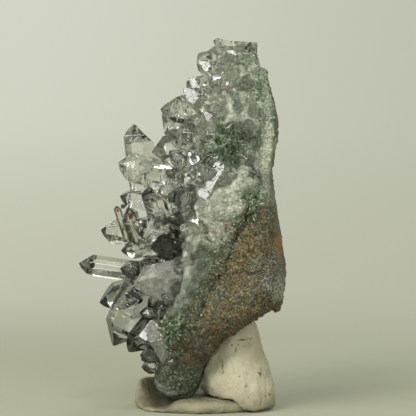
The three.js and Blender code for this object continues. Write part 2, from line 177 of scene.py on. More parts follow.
def stained(tree, colour, place, stains, soft, ragged, most):
    """A colour with stains over it, each a middle, a reach and a colour."""
    for centre, reach, stain in stains:
        colour = blend(tree, patch(tree, place, centre, reach, soft, ragged, most), colour, stain)
    return colour


# %% [markdown]
# The camera. The photograph was taken a little above the specimen with a long lens, so the sight lines are
# nearly parallel. One pixel of the 416 pixel picture is a fifth of a millimetre.

# %% Camera
EYE_LEVEL = math.radians(3.5)
PIXEL = 0.2 * MM
PICTURE = 416 * PIXEL
CAMERA_AWAY = 0.8
AIM = Vector((5.26, 0.0, 40.1)) * MM

camera_data = bpy.data.cameras.new("camera")
camera_data.sensor_width = 36
camera_data.lens = camera_data.sensor_width * CAMERA_AWAY / PICTURE
camera_data.clip_start = 0.01
camera = bpy.data.objects.new("camera", camera_data)
camera.location = AIM + CAMERA_AWAY * Vector((0, -math.cos(EYE_LEVEL), math.sin(EYE_LEVEL)))
camera.rotation_euler = (math.pi / 2 - EYE_LEVEL, 0, 0)
bpy.context.scene.collection.objects.link(camera)
bpy.context.scene.camera = camera
bpy.context.scene.view_settings.view_transform = "Standard"
print("lens", round(camera_data.lens), "mm")

# %% [markdown]
# The studio. A clear crystal shows what is round it: pale backdrop through its middle, and the dimmer
# room along its edges. So the backdrop is pale behind the specimen and dimmer in front of it. The floor is
# plain and matt near the specimen, where it takes a shadow, and glows beyond, so that no line shows.

# %% Floor, backdrop and lights
FLOOR_FLAT = 1.3  # metres out to where the floor starts to curve up
COVE = 0.5
COVE_STEPS = 8
WALL_TOP = 1.9
STUDIO_SIDES = 64
BACKDROP_LOW = "#bdbfab"
BACKDROP_HIGH = "#d4d7c7"
BACKDROP_RIGHT = "#989b86"
ROOM_FLOOR = "#94978b"
ROOM_WALL = "#cccfc2"


def mesh_from(form, name):
    """The mesh of a form that is finished."""
    mesh = bpy.data.meshes.new(name)
    form.to_mesh(mesh)
    form.free()
    return mesh


def object_from(form, name):
    """An object of a form that is finished. It isn't in the scene yet."""
    return bpy.data.objects.new(name, mesh_from(form, name))


def ring_of(form, sides, corner):
    """A ring of corners. The corner function gives the place of each from its turn and number."""
    return [form.verts.new(corner(side / sides * math.tau, side)) for side in range(sides)]


def level_ring(form, sides, radius, height):
    """A ring round the Z axis."""
    return ring_of(form, sides, lambda turn, _: (radius * math.cos(turn), radius * math.sin(turn), height))


def join_rings(form, lower, upper):
    for side in range(len(lower)):
        after = (side + 1) % len(lower)
        form.faces.new((lower[side], lower[after], upper[after], upper[side]))


def close_with_point(form, ring, spot):
    end = form.verts.new(spot)
    for side in range(len(ring)):
        form.faces.new((ring[side], ring[(side + 1) % len(ring)], end))


def studio_object():
    """A round floor that curves up into a wall."""
    profile = [(r, 0.0) for r in (0.02, 0.1, 0.2, 0.4, 0.8, FLOOR_FLAT)]
    for step in range(1, COVE_STEPS + 1):
        turn = step / COVE_STEPS * math.pi / 2
        profile.append((FLOOR_FLAT + COVE * math.sin(turn), COVE * (1 - math.cos(turn))))
    profile.append((FLOOR_FLAT + COVE, WALL_TOP))
    form = bmesh.new()
    rings = [level_ring(form, STUDIO_SIDES, radius, height) for radius, height in profile]
    form.faces.new(rings[0])
    for inner, outer in zip(rings, rings[1:]):
        join_rings(form, outer, inner)
    for face in form.faces:
        face.smooth = True
    return object_from(form, "studio")


def studio_paint():
    """Matt paper near the specimen, and a soft glow beyond it."""
    material, tree, place = new_material("studio_paper")
    axes = add(tree, "ShaderNodeSeparateXYZ", {0: place})
    away = add(tree, "ShaderNodeVectorMath", {0: place}, operation="LENGTH").outputs["Value"]
    height = ramp(tree, away, 0.0, 1.7, smooth=False)
    to_right = ramp(tree, axes.outputs["X"], -0.12, 0.16, most=0.38)
    glow = blend(tree, height, BACKDROP_LOW, BACKDROP_HIGH)
    glow = blend(tree, to_right, glow, BACKDROP_RIGHT)
    behind = calculate(tree, "DIVIDE", axes.outputs["Y"], calculate(tree, "ADD", away, 0.01))
    room = blend(tree, ramp(tree, axes.outputs["Z"], 0.0, 0.35), ROOM_FLOOR, ROOM_WALL)
    glow = blend(tree, ramp(tree, behind, -0.5, 0.3), room, glow)
    paper = add(tree, "ShaderNodeBsdfDiffuse", {"Color": linear("#adaf9d")}).outputs[0]
    light = add(tree, "ShaderNodeEmission", {"Color": glow, "Strength": 1.0}).outputs[0]
    share = ramp(tree, away, 0.06, 0.3)
    finish_material(tree, add(tree, "ShaderNodeMixShader", {0: share, 1: paper, 2: light}).outputs[0])
    return material


studio = studio_object()
studio.data.materials.append(studio_paint())
bpy.context.scene.collection.objects.link(studio)
studio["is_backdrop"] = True

world = bpy.data.worlds.new("studio_room")
bpy.context.scene.world = world
world.use_nodes = True
world.node_tree.nodes["Background"].inputs["Color"].default_value = linear("#8f9285")
world.node_tree.nodes["Background"].inputs["Strength"].default_value = 1.0


def soft_box(name, place, width, height, power, tint="#ffffff"):
    """A flat lamp that faces the middle of the specimen."""
    data = bpy.data.lights.new(name, "AREA")
    data.shape = "RECTANGLE"
    data.size = width
    data.size_y = height
    data.energy = power
    data.color = linear(tint)[:3]
    lamp = bpy.data.objects.new(name, data)
    lamp.location = place
    lamp.rotation_euler = (AIM - lamp.location).to_track_quat("-Z", "Y").to_euler()
    bpy.context.scene.collection.objects.link(lamp)


soft_box("key_box", Vector((-0.36, -0.72, 0.55)), 0.36, 0.36, 4.8, "#fffaf0")
soft_box("left_strip", Vector((-0.75, -0.5, 0.28)), 0.14, 0.6, 3.0)
soft_box("front_fill", Vector((0.24, -0.95, 0.2)), 0.5, 0.34, 5.2)
soft_box("glint_lamp", Vector((0.12, -0.5, 0.75)), 0.1, 0.1, 0.9)
soft_box("rim_box", Vector((0.35, 0.55, 0.6)), 0.3, 0.3, 1.2)

# %% [markdown]
# The quartz crystals. Each is a six-sided prism closed by six sloping faces, and no two sides are equal.
# A crystal is the space inside a set of planes, so that is how it is made: every corner where three planes
# meet inside all the others, wrapped in a hull. The list is the same as the solids', so each crystal
# stands in its own place, but for one that is more upright and two that are turned about their axis.

# %% Crystal planes
TIP_SLOPE = math.radians(51.8)  # between a tip face and the prism's end, as on all quartz
MINOR_FACE_SHIFT = 0.07
PAD_FRONT = -12.5
SIGHT_SLOPE = math.tan(EYE_LEVEL)
WHOLE_WORD = 0xFFFFFFFF
OFF_AXIS = 0.3  # how far a tip may stand off the axis, as a share of the width
CLOSEST_SIDE, SIDE_SPREAD = 0.86, 0.26  # distance of a side from the axis, in half widths
PARALLEL = 1e-3
LEEWAY = 1e-6
SAME_CORNER = 0.02


def random_from(seed):
    """Numbers between 0 and 1, the same as the ones that the solids were drawn with."""
    state = seed

    def draw():
        nonlocal state
        state = (state + 0x6D2B79F5) & WHOLE_WORD
        mixed = ((state ^ (state >> 15)) * (1 | state)) & WHOLE_WORD
        turned = ((mixed ^ (mixed >> 7)) * (61 | mixed)) & WHOLE_WORD
        mixed = ((mixed + turned) & WHOLE_WORD) ^ mixed
        return (mixed ^ (mixed >> 14)) / (WHOLE_WORD + 1)

    return draw


def seen_spot(spot):
    """A place whose height is given as seen from eye level."""
    x, y, seen = spot
    return Vector((x, y, seen - (y - PAD_FRONT) * SIGHT_SLOPE))


def corners_inside(normals, reaches):
    """Corners of the body inside a set of planes."""
    normals = np.array(normals)
    reaches = np.array(reaches)
    triples = np.array(list(itertools.combinations(range(len(normals)), 3)))
    matrices = normals[triples]
    meeting = np.abs(np.linalg.det(matrices)) > PARALLEL
    spots = np.linalg.solve(matrices[meeting], reaches[triples[meeting]][..., None])[..., 0]
    inside = (spots @ normals.T < reaches + LEEWAY).all(axis=1)
    kept = []
    for spot in spots[inside]:
        if all(np.linalg.norm(spot - other) > SAME_CORNER for other in kept):
            kept.append(spot)
    return kept


def crystal_corners(tip, root, width, roll, seed):
    """Corners in place, and the crystal's long axis."""
    random = random_from(seed)
    axis = tip - root
    length = axis.length
    apex = np.array(((random() - 0.5) * OFF_AXIS * width, (random() - 0.5) * OFF_AXIS * width, length))
    normals = [(0, 0, -1)]
    reaches = [0]
    for side in range(6):
        around = (roll + side) * math.tau / 6
        outward = np.array((math.cos(around), math.sin(around), 0))
        normals.append(outward)
        reaches.append(width / 2 * (CLOSEST_SIDE + SIDE_SPREAD * random()))
        slope = outward * math.sin(TIP_SLOPE) + np.array((0, 0, math.cos(TIP_SLOPE)))
        shift = (side % 2) * MINOR_FACE_SHIFT * width * (0.4 + 1.2 * random())
        normals.append(slope)
        reaches.append(slope @ apex + shift)
    axis.normalize()
    turn = Vector((0, 0, 1)).rotation_difference(axis)
    return [turn @ Vector(corner) + root for corner in corners_inside(normals, reaches)], axis


# %% [markdown]
# A hull of those corners still has no worn edges. A real edge is never knife sharp, and the thin bright
# line along it comes from a bevel, here a few hundredths of a millimetre. Each face remembers its
# crystal's axis, because the fine growth lines on the long sides run across that axis.

# %% One crystal as a mesh
EDGE = 0.07
WORN_EDGE = 0.3
FLAT = math.radians(2)  # faces that meet at less than this are one face
SLANT_OF_SIDES = 0.15  # the most that a long side's normal leans along the axis


def crystal_object(name, tip, root, width, roll, seed, edge=EDGE, steps=1):
    corners, axis = crystal_corners(tip, root, width, roll, seed)
    form = bmesh.new()
    for corner in corners:
        form.verts.new(corner * MM)
    bmesh.ops.convex_hull(form, input=form.verts)
    bmesh.ops.dissolve_limit(form, angle_limit=FLAT, verts=form.verts, edges=form.edges)
    axis_of = form.faces.layers.float_vector.new("axis")
    long_side = form.faces.layers.float.new("long_side")
    worn = form.faces.layers.float.new("worn")
    bevel = bmesh.ops.bevel(
        form, geom=form.edges[:], offset=edge * MM, segments=steps, affect="EDGES", clamp_overlap=True,
    )
    for face in bevel["faces"]:
        face[worn] = 1.0
    bmesh.ops.recalc_face_normals(form, faces=form.faces)
    for face in form.faces:
        face[axis_of] = axis
        face[long_side] = 1.0 if abs(face.normal.dot(axis)) < SLANT_OF_SIDES else 0.0
    return object_from(form, name)


def plain_mesh(form):
    """The mesh that an object's modifiers make of it. The modifiers are taken off."""
    bpy.context.view_layer.update()
    mesh = bpy.data.meshes.new_from_object(form.evaluated_get(bpy.context.evaluated_depsgraph_get()))
    form.modifiers.clear()
    return mesh


def union(name, objects):
    """One closed object from several that overlap."""
    members = bpy.data.collections.new(name + "_members")
    bpy.context.scene.collection.children.link(members)
    whole, *others = objects
    bpy.context.scene.collection.objects.link(whole)
    for other in others:
        members.objects.link(other)
    join = whole.modifiers.new("join", "BOOLEAN")
    join.operation = "UNION"
    join.solver = "MANIFOLD"
    join.operand_type = "COLLECTION"
    join.collection = members
    mesh = plain_mesh(whole)
    for member in objects:
        bpy.data.objects.remove(member)
    bpy.data.collections.remove(members)
    return piece(name, mesh)


def piece(name, mesh):
    """An object at the origin that holds a finished mesh."""
    mesh.name = name
    made = bpy.data.objects.new(name, mesh)
    bpy.context.scene.collection.objects.link(made)
    return made


def triangles(made):
    return sum(len(polygon.vertices) - 2 for polygon in made.data.polygons)


# %% [markdown]
# The crystals that can be told apart in the photograph, each with its tip, its root and its width, in
# millimetres. Heights are as seen from eye level. The two that are frosted come last in their own list.

# %% Crystals seen from the near side
CLEAR_CRYSTALS = [  # tip, root, width, turn about the axis in sixths of a circle, and number
    ((5.1, 3.0, 72.1), (15.0, 3.0, 71.5), 4.9, 0.2, 1),
    ((6.2, 6.0, 74.5), (10.8, 5.0, 72.6), 2.0, 0, 2),
    ((9.9, -3.4, 72.8), (10.3, -2.6, 64.0), 3.4, 0, 3),
    ((13.3, -2.8, 74.0), (13.8, -1.8, 67.0), 3.0, 0, 4),
    ((3.9, 0.6, 69.6), (11.0, 0.2, 67.2), 2.8, 0, 5),
    ((2.6, -2.8, 66.8), (9.0, -2.4, 64.6), 3.2, 0, 6),
    ((0.8, 1.4, 64.4), (8.0, 1.0, 62.0), 3.2, 0.35, 7),
    ((4.2, -5.8, 65.2), (9.4, -4.6, 60.6), 2.6, 0, 8),
    ((6.6, -7.2, 67.4), (10.4, -4.8, 62.0), 2.4, 0, 9),
    ((3.6, -8.0, 62.4), (9.4, -6.0, 58.6), 2.6, 0, 10),
    ((-4.3, -2.0, 60.6), (7.0, -1.6, 58.8), 6.0, 0.5, 11),
    ((-9.0, -4.4, 57.8), (-7.4, -3.2, 44.4), 5.7, 0.1, 12),
    ((-12.6, -9.2, 49.8), (-3.2, -5.0, 47.6), 5.4, 0, 13),
    ((-6.0, -6.6, 52.0), (4.0, -4.8, 54.6), 4.4, 0.5, 14),
    ((2.1, -8.0, 58.8), (0.8, -7.0, 45.0), 5.2, 0.3, 15),
    ((3.8, -11.6, 58.2), (5.0, -9.4, 49.0), 3.2, 0, 16),
    ((-8.9, -8.4, 47.4), (3.0, -7.4, 44.6), 5.2, 0, 17),
    ((-12.3, -3.6, 43.4), (-2.0, -2.6, 41.2), 4.0, 0, 18),
    ((-6.0, -11.2, 45.4), (-3.2, -9.0, 36.0), 4.8, 0, 19),
    ((-0.4, -14.2, 45.2), (4.2, -13.2, 36.0), 4.4, 0, 20),
    ((-12.9, -5.6, 41.4), (-10.4, -4.6, 33.6), 1.6, 0, 21),
    ((-10.7, -8.6, 41.2), (-7.6, -6.6, 31.6), 3.4, 0, 22),
    ((-9.6, -11.0, 38.8), (1.0, -9.4, 34.4), 4.8, 0, 23),
    ((-16.1, -3.4, 36.6), (-4.0, -2.6, 35.0), 4.2, 0.4, 24),
    ((-12.0, -7.2, 32.2), (-1.0, -6.0, 34.0), 3.6, 0, 25),
    ((-12.2, -9.4, 28.8), (-2.0, -8.0, 28.4), 3.2, 0, 26),
    ((-20.6, -0.6, 30.0), (-1.0, 0.6, 27.0), 4.2, 0.25, 27),
    ((-16.4, -4.4, 22.0), (-4.0, -2.6, 26.0), 5.2, 0, 28),
    ((-14.3, -8.6, 13.8), (-6.4, -6.8, 28.6), 6.2, 0.15, 29),
    ((-9.8, -10.8, 11.8), (-2.4, -8.6, 21.4), 5.8, 0, 30),
    ((-8.0, -8.8, 9.2), (-1.0, -7.6, 9.8), 2.6, 0, 33),
    ((-8.2, -12.4, 19.8), (-1.0, -10.6, 20.4), 2.8, 0, 34),
    ((9.9, -17.4, 51.6), (5.0, -15.0, 43.0), 4.0, 0, 35),
    ((3.4, -16.0, 49.4), (9.4, -13.6, 47.2), 3.0, 0, 36),
    ((-2.4, -12.8, 52.0), (5.4, -11.0, 46.4), 3.2, 0, 37),
]
FROSTED_CRYSTALS = [
    ((-9.0, -15.4, 25.2), (3.4, -10.2, 27.8), 7.2, 0.5, 31),
    ((-5.6, -14.6, 18.6), (-0.8, -9.2, 10.2), 4.8, 0, 32),
]


def listed_crystals(rows, kind, **edges):
    made = []
    for tip, root, width, roll, seed in rows:
        name = f"{kind}_{seed}"
        made.append(crystal_object(name, seen_spot(tip), seen_spot(root), width, roll, seed, **edges))
    return made


# %% [markdown]
# More crystals fill the far half of the slab and the room between the seen ones. They point away from the
# slab, longer on the far side, and stop where the photograph's outline stops.

# %% Crystals between and behind
BED_LEVELS = [
    (8.6, -3.2, 1.0, -9.5, 6.5),
    (11.4, -4.6, 3.0, -12.8, 10.5),
    (15.2, -4.6, 4.0, -14.8, 14.0),
    (20.0, -3.4, 5.0, -16.4, 16.0),
    (25.6, -1.6, 8.0, -17.0, 17.2),
    (31.6, -0.6, 11.0, -17.4, 17.8),
    (37.4, 0.8, 14.0, -17.4, 17.8),
    (43.2, 1.8, 16.2, -17.2, 17.4),
    (49.0, 3.0, 16.4, -16.4, 16.8),
    (54.6, 4.0, 17.0, -14.8, 16.0),
    (60.0, 5.0, 17.0, -12.0, 13.4),
    (64.6, 6.6, 16.2, -8.8, 10.6),
    (68.0, 8.0, 14.6, -6.4, 8.0),
    (70.8, 8.8, 13.6, -3.6, 6.4),
]  # height, left, right, near and far side of the massive quartz
REACH_LEFT = [  # height, and where the photograph's outline ends at the left
    (5, -2.6), (9, -4.6), (13, -8.2), (18, -9.4), (24, -11.0), (30, -9.8), (36, -11.0), (40, -9.6),
    (46, -8.4), (50, -7.6), (54, -4.2), (57, 0.0), (64, 1.8), (69, 4.4), (73, 6.4),
]
FILL_LOW, FILL_HIGH = 10, 68
FILL_ROWS = 11
FILL_PITCH = 5.6
FILL_SEED = 41
FILL_FIRST = 100
FAR_REACH = 18.9


def at_height(rows, height, column):
    """Value of one column at a height, between the two rows round it."""
    return float(np.interp(height, [row[0] for row in rows], [row[column] for row in rows]))


def between(low, high, share):
    return low + (high - low) * share


def row_levels(low, high, rows):
    """The middle height of each of these rows."""
    return [between(low, high, (row + 0.5) / rows) for row in range(rows)]


def sprout(made, kind, first, root, outward, length, width, roll):
    """Adds one crystal to those made, numbered on from the first."""
    number = first + len(made)
    made.append(crystal_object(f"{kind}_{number}", root + outward * length, root, width, roll, number))


def fill_crystals():
    random = random_from(FILL_SEED)
    made = []
    for level in row_levels(FILL_LOW, FILL_HIGH, FILL_ROWS):
        near = at_height(BED_LEVELS, level, 3) + 4
        far = at_height(BED_LEVELS, level, 4) - 0.5
        columns = max(2, math.floor((far - near) / FILL_PITCH + 0.5))
        for column in range(columns):
            share = (column + 0.5 + 0.7 * (random() - 0.5)) / columns
            height = level + 3.4 * (random() - 0.5)
            depth = between(near, far, share)
            root = Vector((at_height(BED_LEVELS, height, 1) + 2.2, depth, height))
            sideways = (share - 0.4) * 1.2 + (random() - 0.5) * 0.7
            upward = (height - 30) / 45 + (random() - 0.5) * 0.8
            outward = Vector((-1, sideways, upward)).normalized()
            room_left = (root.x - at_height(REACH_LEFT, height + 0.8, 1)) / abs(outward.x)
            room_far = (FAR_REACH - 1 - depth) / outward.y if outward.y > 0.05 else room_left
            wanted = 6.5 + 9.0 * random() * (0.3 + 0.7 * share)
            length = max(4.4, min(room_left, room_far, wanted))
            width = min(2.8 + 3.2 * random(), length * 0.62)
            sprout(made, "fill", FILL_FIRST, root, outward, length, width, random())
    return made


NEAR_LOW, NEAR_HIGH = 45.5, 70.5
NEAR_PITCH = 2.5
NEAR_SEED = 83
NEAR_FIRST = 300


def near_crystals():
    """Short crystals that crowd the upper part of the near side."""
    random = random_from(NEAR_SEED)
    made = []
    for level in row_levels(NEAR_LOW, NEAR_HIGH, round((NEAR_HIGH - NEAR_LOW) / NEAR_PITCH)):
        left = at_height(BED_LEVELS, level, 1) - 0.5
        right = at_height(BED_LEVELS, level, 2) - 1.6
        columns = max(1, round((right - left) / NEAR_PITCH))
        for column in range(columns):
            height = level + 1.6 * (random() - 0.5)
            across = between(left, right, (column + random()) / columns)
            edge = abs(2 * (across - left) / (right - left) - 1)
            depth = at_height(BED_LEVELS, height, 3) + 1.4 + 1.4 * edge ** 3
            outward = Vector((-0.9 + 1.0 * random(), -1.0, 0.1 + 0.9 * random())).normalized()
            length = 3.0 + 2.4 * random()
            width = min(1.5 + 1.7 * random(), length * 0.6)
            root = Vector((across, depth, height))
            sprout(made, "near", NEAR_FIRST, root, outward, length, width, random())
    return made


DRUSE_LOW, DRUSE_HIGH = 10, 70
DRUSE_PITCH = 2.7
DRUSE_SEED = 29
DRUSE_FIRST = 500


def left_druse():
    """Small crystals that cover the left side between the long ones, from the near to the far edge."""
    random = random_from(DRUSE_SEED)
    made = []
    for level in row_levels(DRUSE_LOW, DRUSE_HIGH, round((DRUSE_HIGH - DRUSE_LOW) / DRUSE_PITCH)):
        near = at_height(BED_LEVELS, level, 3) + 0.8
        far = at_height(BED_LEVELS, level, 4) - 0.8
        columns = round((far - near) / DRUSE_PITCH)
        for column in range(columns):
            height = level + 2.2 * (random() - 0.5)
            share = (column + random()) / columns
            edge = abs(2 * share - 1)
            across = at_height(BED_LEVELS, height, 1) + 1.6 + 2.6 * edge ** 4
            root = Vector((across, between(near, far, share), height))
            sideways = (share - 0.5) * 1.5 + 0.6 * (random() - 0.5)
            outward = Vector((-1, sideways, 0.9 * (random() - 0.35))).normalized()
            length = 3.2 + 2.8 * random() ** 2
            width = min(1.4 + 1.9 * random(), length * 0.55)
            sprout(made, "druse", DRUSE_FIRST, root, outward, length, width, random())
    return made


# the lower crystals are drawn greyer: partly their own haze, partly painted shade for the dim room that they
# reflect
GREY_BELOW = 40.0  # height in millimetres, under which most crystals are greyer
GREY_SPREAD = 16.0
ALWAYS_CLEAR = ("clear_27", "clear_24")


def is_grey(made):
    """True for a crystal of the lower half, drawn greyer, partly as painted shade. Its name, its height and
    chance decide.
    """
    middle = sum((vertex.co for vertex in made.data.vertices), Vector()) / len(made.data.vertices)
    chance = random_from(int(made.name.split("_")[1]))()
    border = GREY_BELOW + GREY_SPREAD * (chance - 0.5)
    return middle.z < border * MM and made.name not in ALWAYS_CLEAR


all_crystals = listed_crystals(CLEAR_CRYSTALS, "clear") + fill_crystals() + near_crystals() + left_druse()
groups = {True: [], False: []}
for made in all_crystals:
    groups[is_grey(made)].append(made)
grey = union("grey_crystals", groups[True])
clear = union("clear_crystals", groups[False])
frosted = union("frosted_crystals", listed_crystals(FROSTED_CRYSTALS, "frosted", edge=WORN_EDGE, steps=2))
print("clear", triangles(clear), "and grey", triangles(grey), "triangles")

# %% [markdown]
# Clear quartz (rock crystal), grown from hot water. It is glass-clear with a refractive index of 1.544,
# has a faint grey-green cast in its depth, and fine growth lines across its long sides, drawn here at a
# quarter of a millimetre because the real ones are too fine to show.

# %% Clear quartz
GROWTH_LINE = 0.28
QUARTZ_IOR = 1.544


def painted(made, paint):
    made.data.materials.clear()
    made.data.materials.append(paint)
    return made


def clear_quartz(name, tint, density):
    """See-through quartz. Its depth takes away what the tint lacks, as much as the density says."""
    material, tree, place = new_material(name)
    axis = add(tree, "ShaderNodeAttribute", attribute_name="axis").outputs["Vector"]
    on_side = add(tree, "ShaderNodeAttribute", attribute_name="long_side").outputs["Fac"]
    along = add(tree, "ShaderNodeVectorMath", {0: place, 1: axis}, operation="DOT_PRODUCT").outputs["Value"]
    wandering = calculate(tree, "MULTIPLY_ADD", noise(tree, place, 3.0), 1.1 * MM, along)
    lines = add(tree, "ShaderNodeTexNoise", {
        "W": wandering, "Scale": scale_for(GROWTH_LINE * 2), "Detail": 2.0,
    }, noise_dimensions="1D").outputs["Fac"]
    stepped = calculate(tree, "MULTIPLY", lines, on_side)
    pitted = calculate(tree, "MULTIPLY_ADD", noise(tree, place, 0.8), 0.35, stepped)
    bump = bumps(tree, pitted, 0.16, 0.12)
    etched = ramp(tree, noise(tree, place, 2.4, 4), 0.56, 0.66, most=0.16)
    dull = calculate(tree, "ADD", etched, ramp(tree, on_side, 0.0, 1.0, least=0.08, most=0.03))
    depth = add(tree, "ShaderNodeVolumeAbsorption", {"Color": linear(tint), "Density": density}).outputs[0]
    finish_skin(tree, {
        "Base Color": linear("#fdfdfa"), "Roughness": dull, "IOR": QUARTZ_IOR,
        "Transmission Weight": 1.0, "Normal": bump,
    }, depth)
    return material


for crystals, paint in (
    (clear, clear_quartz("rock_crystal", "#a9ad97", 22.0)),
    (grey, clear_quartz("grey_rock_crystal", "#a3a795", 150.0)),
):
    painted(crystals, paint)
    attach(crystals, "root")
    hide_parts("quartz_crystals")

# %% [markdown]
# Two crystals low on the near side are frosted: their skins are etched and sugary, and they are cloudy
# inside, so light spreads in them instead of passing straight through.

# %% Frosted quartz
def frosted_quartz():
    material, tree, place = new_material("frosted_quartz")
    worn = add(tree, "ShaderNodeAttribute", attribute_name="worn").outputs["Fac"]
    sugar = noise(tree, place, 0.5, 5, 0.7)
    bump = bumps(tree, sugar, 0.5, 0.25)
    cloud = ramp(tree, noise(tree, place, 1.6, 5), 0.42, 0.6)
    grains = calculate(tree, "MULTIPLY", ramp(tree, sugar, 0.5, 0.6), calculate(tree, "ADD", worn, 0.25))
    colour = blend(tree, grains, blend(tree, cloud, "#c8cbba", "#eeefe4"), "#ffffff")
    rough = calculate(tree, "MULTIPLY_ADD", cloud, 0.2, 0.1)
    clear = calculate(tree, "MULTIPLY_ADD", grains, -0.5, 0.85)
    depth = add(tree, "ShaderNodeVolumeAbsorption", {"Color": linear("#c0c4b2"), "Density": 20.0}).outputs[0]
    finish_skin(tree, {
        "Base Color": colour, "Roughness": rough, "IOR": QUARTZ_IOR,
        "Transmission Weight": clear, "Normal": bump,
    }, depth)
    return material


painted(frosted, frosted_quartz())
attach(frosted, "root")
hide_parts("quartz_crystals")

# %% [markdown]
# What the clear quartz holds. The roots of some crystals are cloudy, chlorite and epidote fill parts with
# blackish green, and hematite sits in a few crystals as red flakes. Paint on the outside would stay on the
# faces, so each spot is a small uneven lump inside the crystal, and moves behind its faces as the view turns.
# Two of the blackish green lumps, in the deep gap between crystals, are also painted shade.

# %% Dark inclusions
SPOT_SEED = 700
DARK_SPOTS = [  # middle, with its height as seen from eye level, and reach along X, Y and Z
    ((-1.7, -11.6, 43.0), (0.9, 0.7, 1.2)),
    # these two sit in the deep gap between crystals: painted shade of the gap as well as chlorite
    ((-1.2, -9.2, 36.8), (1.5, 0.8, 1.6)),
    ((-0.6, -9.4, 33.6), (1.3, 0.8, 1.8)),
    ((-3.2, -9.4, 31.6), (1.4, 0.8, 1.2)),
    ((-10.1, -5.4, 23.2), (0.8, 0.7, 0.7)),
    ((-9.6, -6.6, 28.0), (0.9, 0.6, 1.4)),
    ((-11.6, -5.6, 41.2), (0.5, 0.5, 0.5)),
    ((-5.4, -8.0, 14.0), (1.6, 1.0, 1.4)),
    ((-0.6, -3.0, 61.8), (0.16, 0.16, 0.18)),
    ((1.2, -3.4, 61.0), (0.2, 0.16, 0.16)),
    ((-2.8, -4.0, 60.3), (0.14, 0.14, 0.16)),
    ((0.2, -4.4, 58.0), (0.9, 0.25, 0.3)),
    ((-2.0, -4.2, 59.2), (0.12, 0.12, 0.12)),
]
RED_SPOTS = [
    ((-12.6, -6.9, 40.4), (0.24, 0.1, 0.4)),
    ((-10.0, -8.6, 39.2), (0.18, 0.1, 0.55)),
    ((-10.5, -8.2, 37.4), (0.2, 0.1, 0.26)),
    ((-9.6, -7.9, 36.0), (0.14, 0.1, 0.2)),
    ((-12.8, -6.2, 38.6), (0.12, 0.1, 0.5)),
    ((0.8, -12.6, 31.2), (0.25, 0.15, 0.16)),
]
CLOUDY_ROOTS = [
    ((-6.5, 0.2, 27.9), (2.8, 1.6, 1.6)),
    ((-7.9, -3.6, 48.4), (1.9, 1.8, 1.7)),
    ((-2.2, -3.0, 35.2), (2.0, 1.4, 1.5)),
]


def spots_piece(name, spots, subsurface, rough, dark, light):
    """One piece of lumps with uneven skins."""
    form = bmesh.new()
    for number, (centre, reach) in enumerate(spots):
        random = random_from(SPOT_SEED + number)
        lump = bmesh.ops.create_icosphere(form, subdivisions=2, radius=1.0)
        for vertex in lump["verts"]:
            grown = 0.75 + 0.5 * random()
            vertex.co = (seen_spot(centre) + vertex.co * Vector(reach) * grown) * MM
    made = piece(name, mesh_from(form, name))
    material, tree, place = new_material(name + "_mineral")
    colour = blend(tree, ramp(tree, noise(tree, place, 0.5, 4), 0.4, 0.62), dark, light)
    finish_skin(tree, {
        "Base Color": colour, "Roughness": rough,
        "Subsurface Weight": subsurface, "Subsurface Scale": 0.3 * MM,
    })
    made.data.materials.append(material)
    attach(made, "root")


spots_piece("cloudy_roots", CLOUDY_ROOTS, 0.2, 0.5, "#a4a895", "#cdd0c0")
spots_piece("chlorite_inclusions", DARK_SPOTS, 0.0, 0.5, "#141a12", "#38452f")
spots_piece("hematite_flakes", RED_SPOTS, 0.2, 0.4, "#5e130d", "#8f2a1c")

# %% [markdown]
# Near the top a fresh crack splits the light into rainbow colours, as a soap film does. It is a few thin
# flakes just inside the crystals, and the rainbow is painted sheen: its colours are painted into the flakes'
# colour and change from place to place, as a film's thickness would.

# %% Rainbow crack
CRACK_SEED = 411
FLAKE_CORNERS = 7
FLAKE_THICKNESS = 0.04
CRACK_FLAKES = [  # middle and width
    ((6.8, -9.4, 66.6), 2.0),
    ((9.2, -10.2, 65.4), 1.4),
    ((5.0, -8.6, 68.2), 1.0),
    ((10.4, -10.8, 64.2), 0.9),
    ((8.2, -9.8, 67.6), 0.6),
]


def crack_flakes():
    form = bmesh.new()
    random = random_from(CRACK_SEED)
    for centre, width in CRACK_FLAKES:
        facing = Vector((-0.25 + 0.2 * random(), -1.0, 0.3 + 0.3 * random())).normalized()
        side = facing.orthogonal().normalized()
        other = facing.cross(side)
        middle = seen_spot(centre)
        layers = []
        for depth in (0.0, -FLAKE_THICKNESS):
            layers.append([])
            for corner in range(FLAKE_CORNERS):
                turn = (corner + 0.6 * ((corner * 37) % 7) / 7) / FLAKE_CORNERS * math.tau
                reach = width / 2 * (0.7 + 0.3 * math.cos(3 * turn))
                spot = middle + (side * math.cos(turn) + other * math.sin(turn)) * reach + facing * depth
                layers[-1].append(form.verts.new(spot * MM))
        front, back = layers
        form.faces.new(front)
        form.faces.new(reversed(back))
        join_rings(form, back, front)
    bmesh.ops.recalc_face_normals(form, faces=form.faces)
    return piece("rainbow_crack", mesh_from(form, "rainbow_crack"))


def crack_film():
    material, tree, place = new_material("rainbow_film")
    film = noise(tree, place, 0.9, 2)
    # painted sheen: the interference colours are painted into the base colour
    colour = layered(
        tree, "#f2b98e",
        (ramp(tree, film, 0.36, 0.46), "#e9c8e0"),
        (ramp(tree, film, 0.46, 0.54), "#a9dcf2"),
        (ramp(tree, film, 0.54, 0.62), "#f4f3e8"),
    )
    finish_skin(tree, {"Base Color": colour, "Roughness": 0.25, "Metallic": 0.6})
    return material


crack = painted(crack_flakes(), crack_film())
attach(crack, "root")

# %% [markdown]
# A healed crack is a bent sheet of bubbles far too small to see one by one. Here each veil is a bent
# grid, Geometry Nodes put a bubble on chance points of it, and the bubbles are drawn at seven hundredths
# of a millimetre, which is coarser than real, so that the veil shows as a soft haze.

# %% Veils
BUBBLE = 0.07
VEILS_PER_CRYSTAL = 2
VEIL_SEED = 900
VEIL_CELLS = 4
VEIL_REACH = 0.3  # half a veil's side, as a share of the crystal's width
VEIL_GAPS = 0.25  # share of its cells that are left out


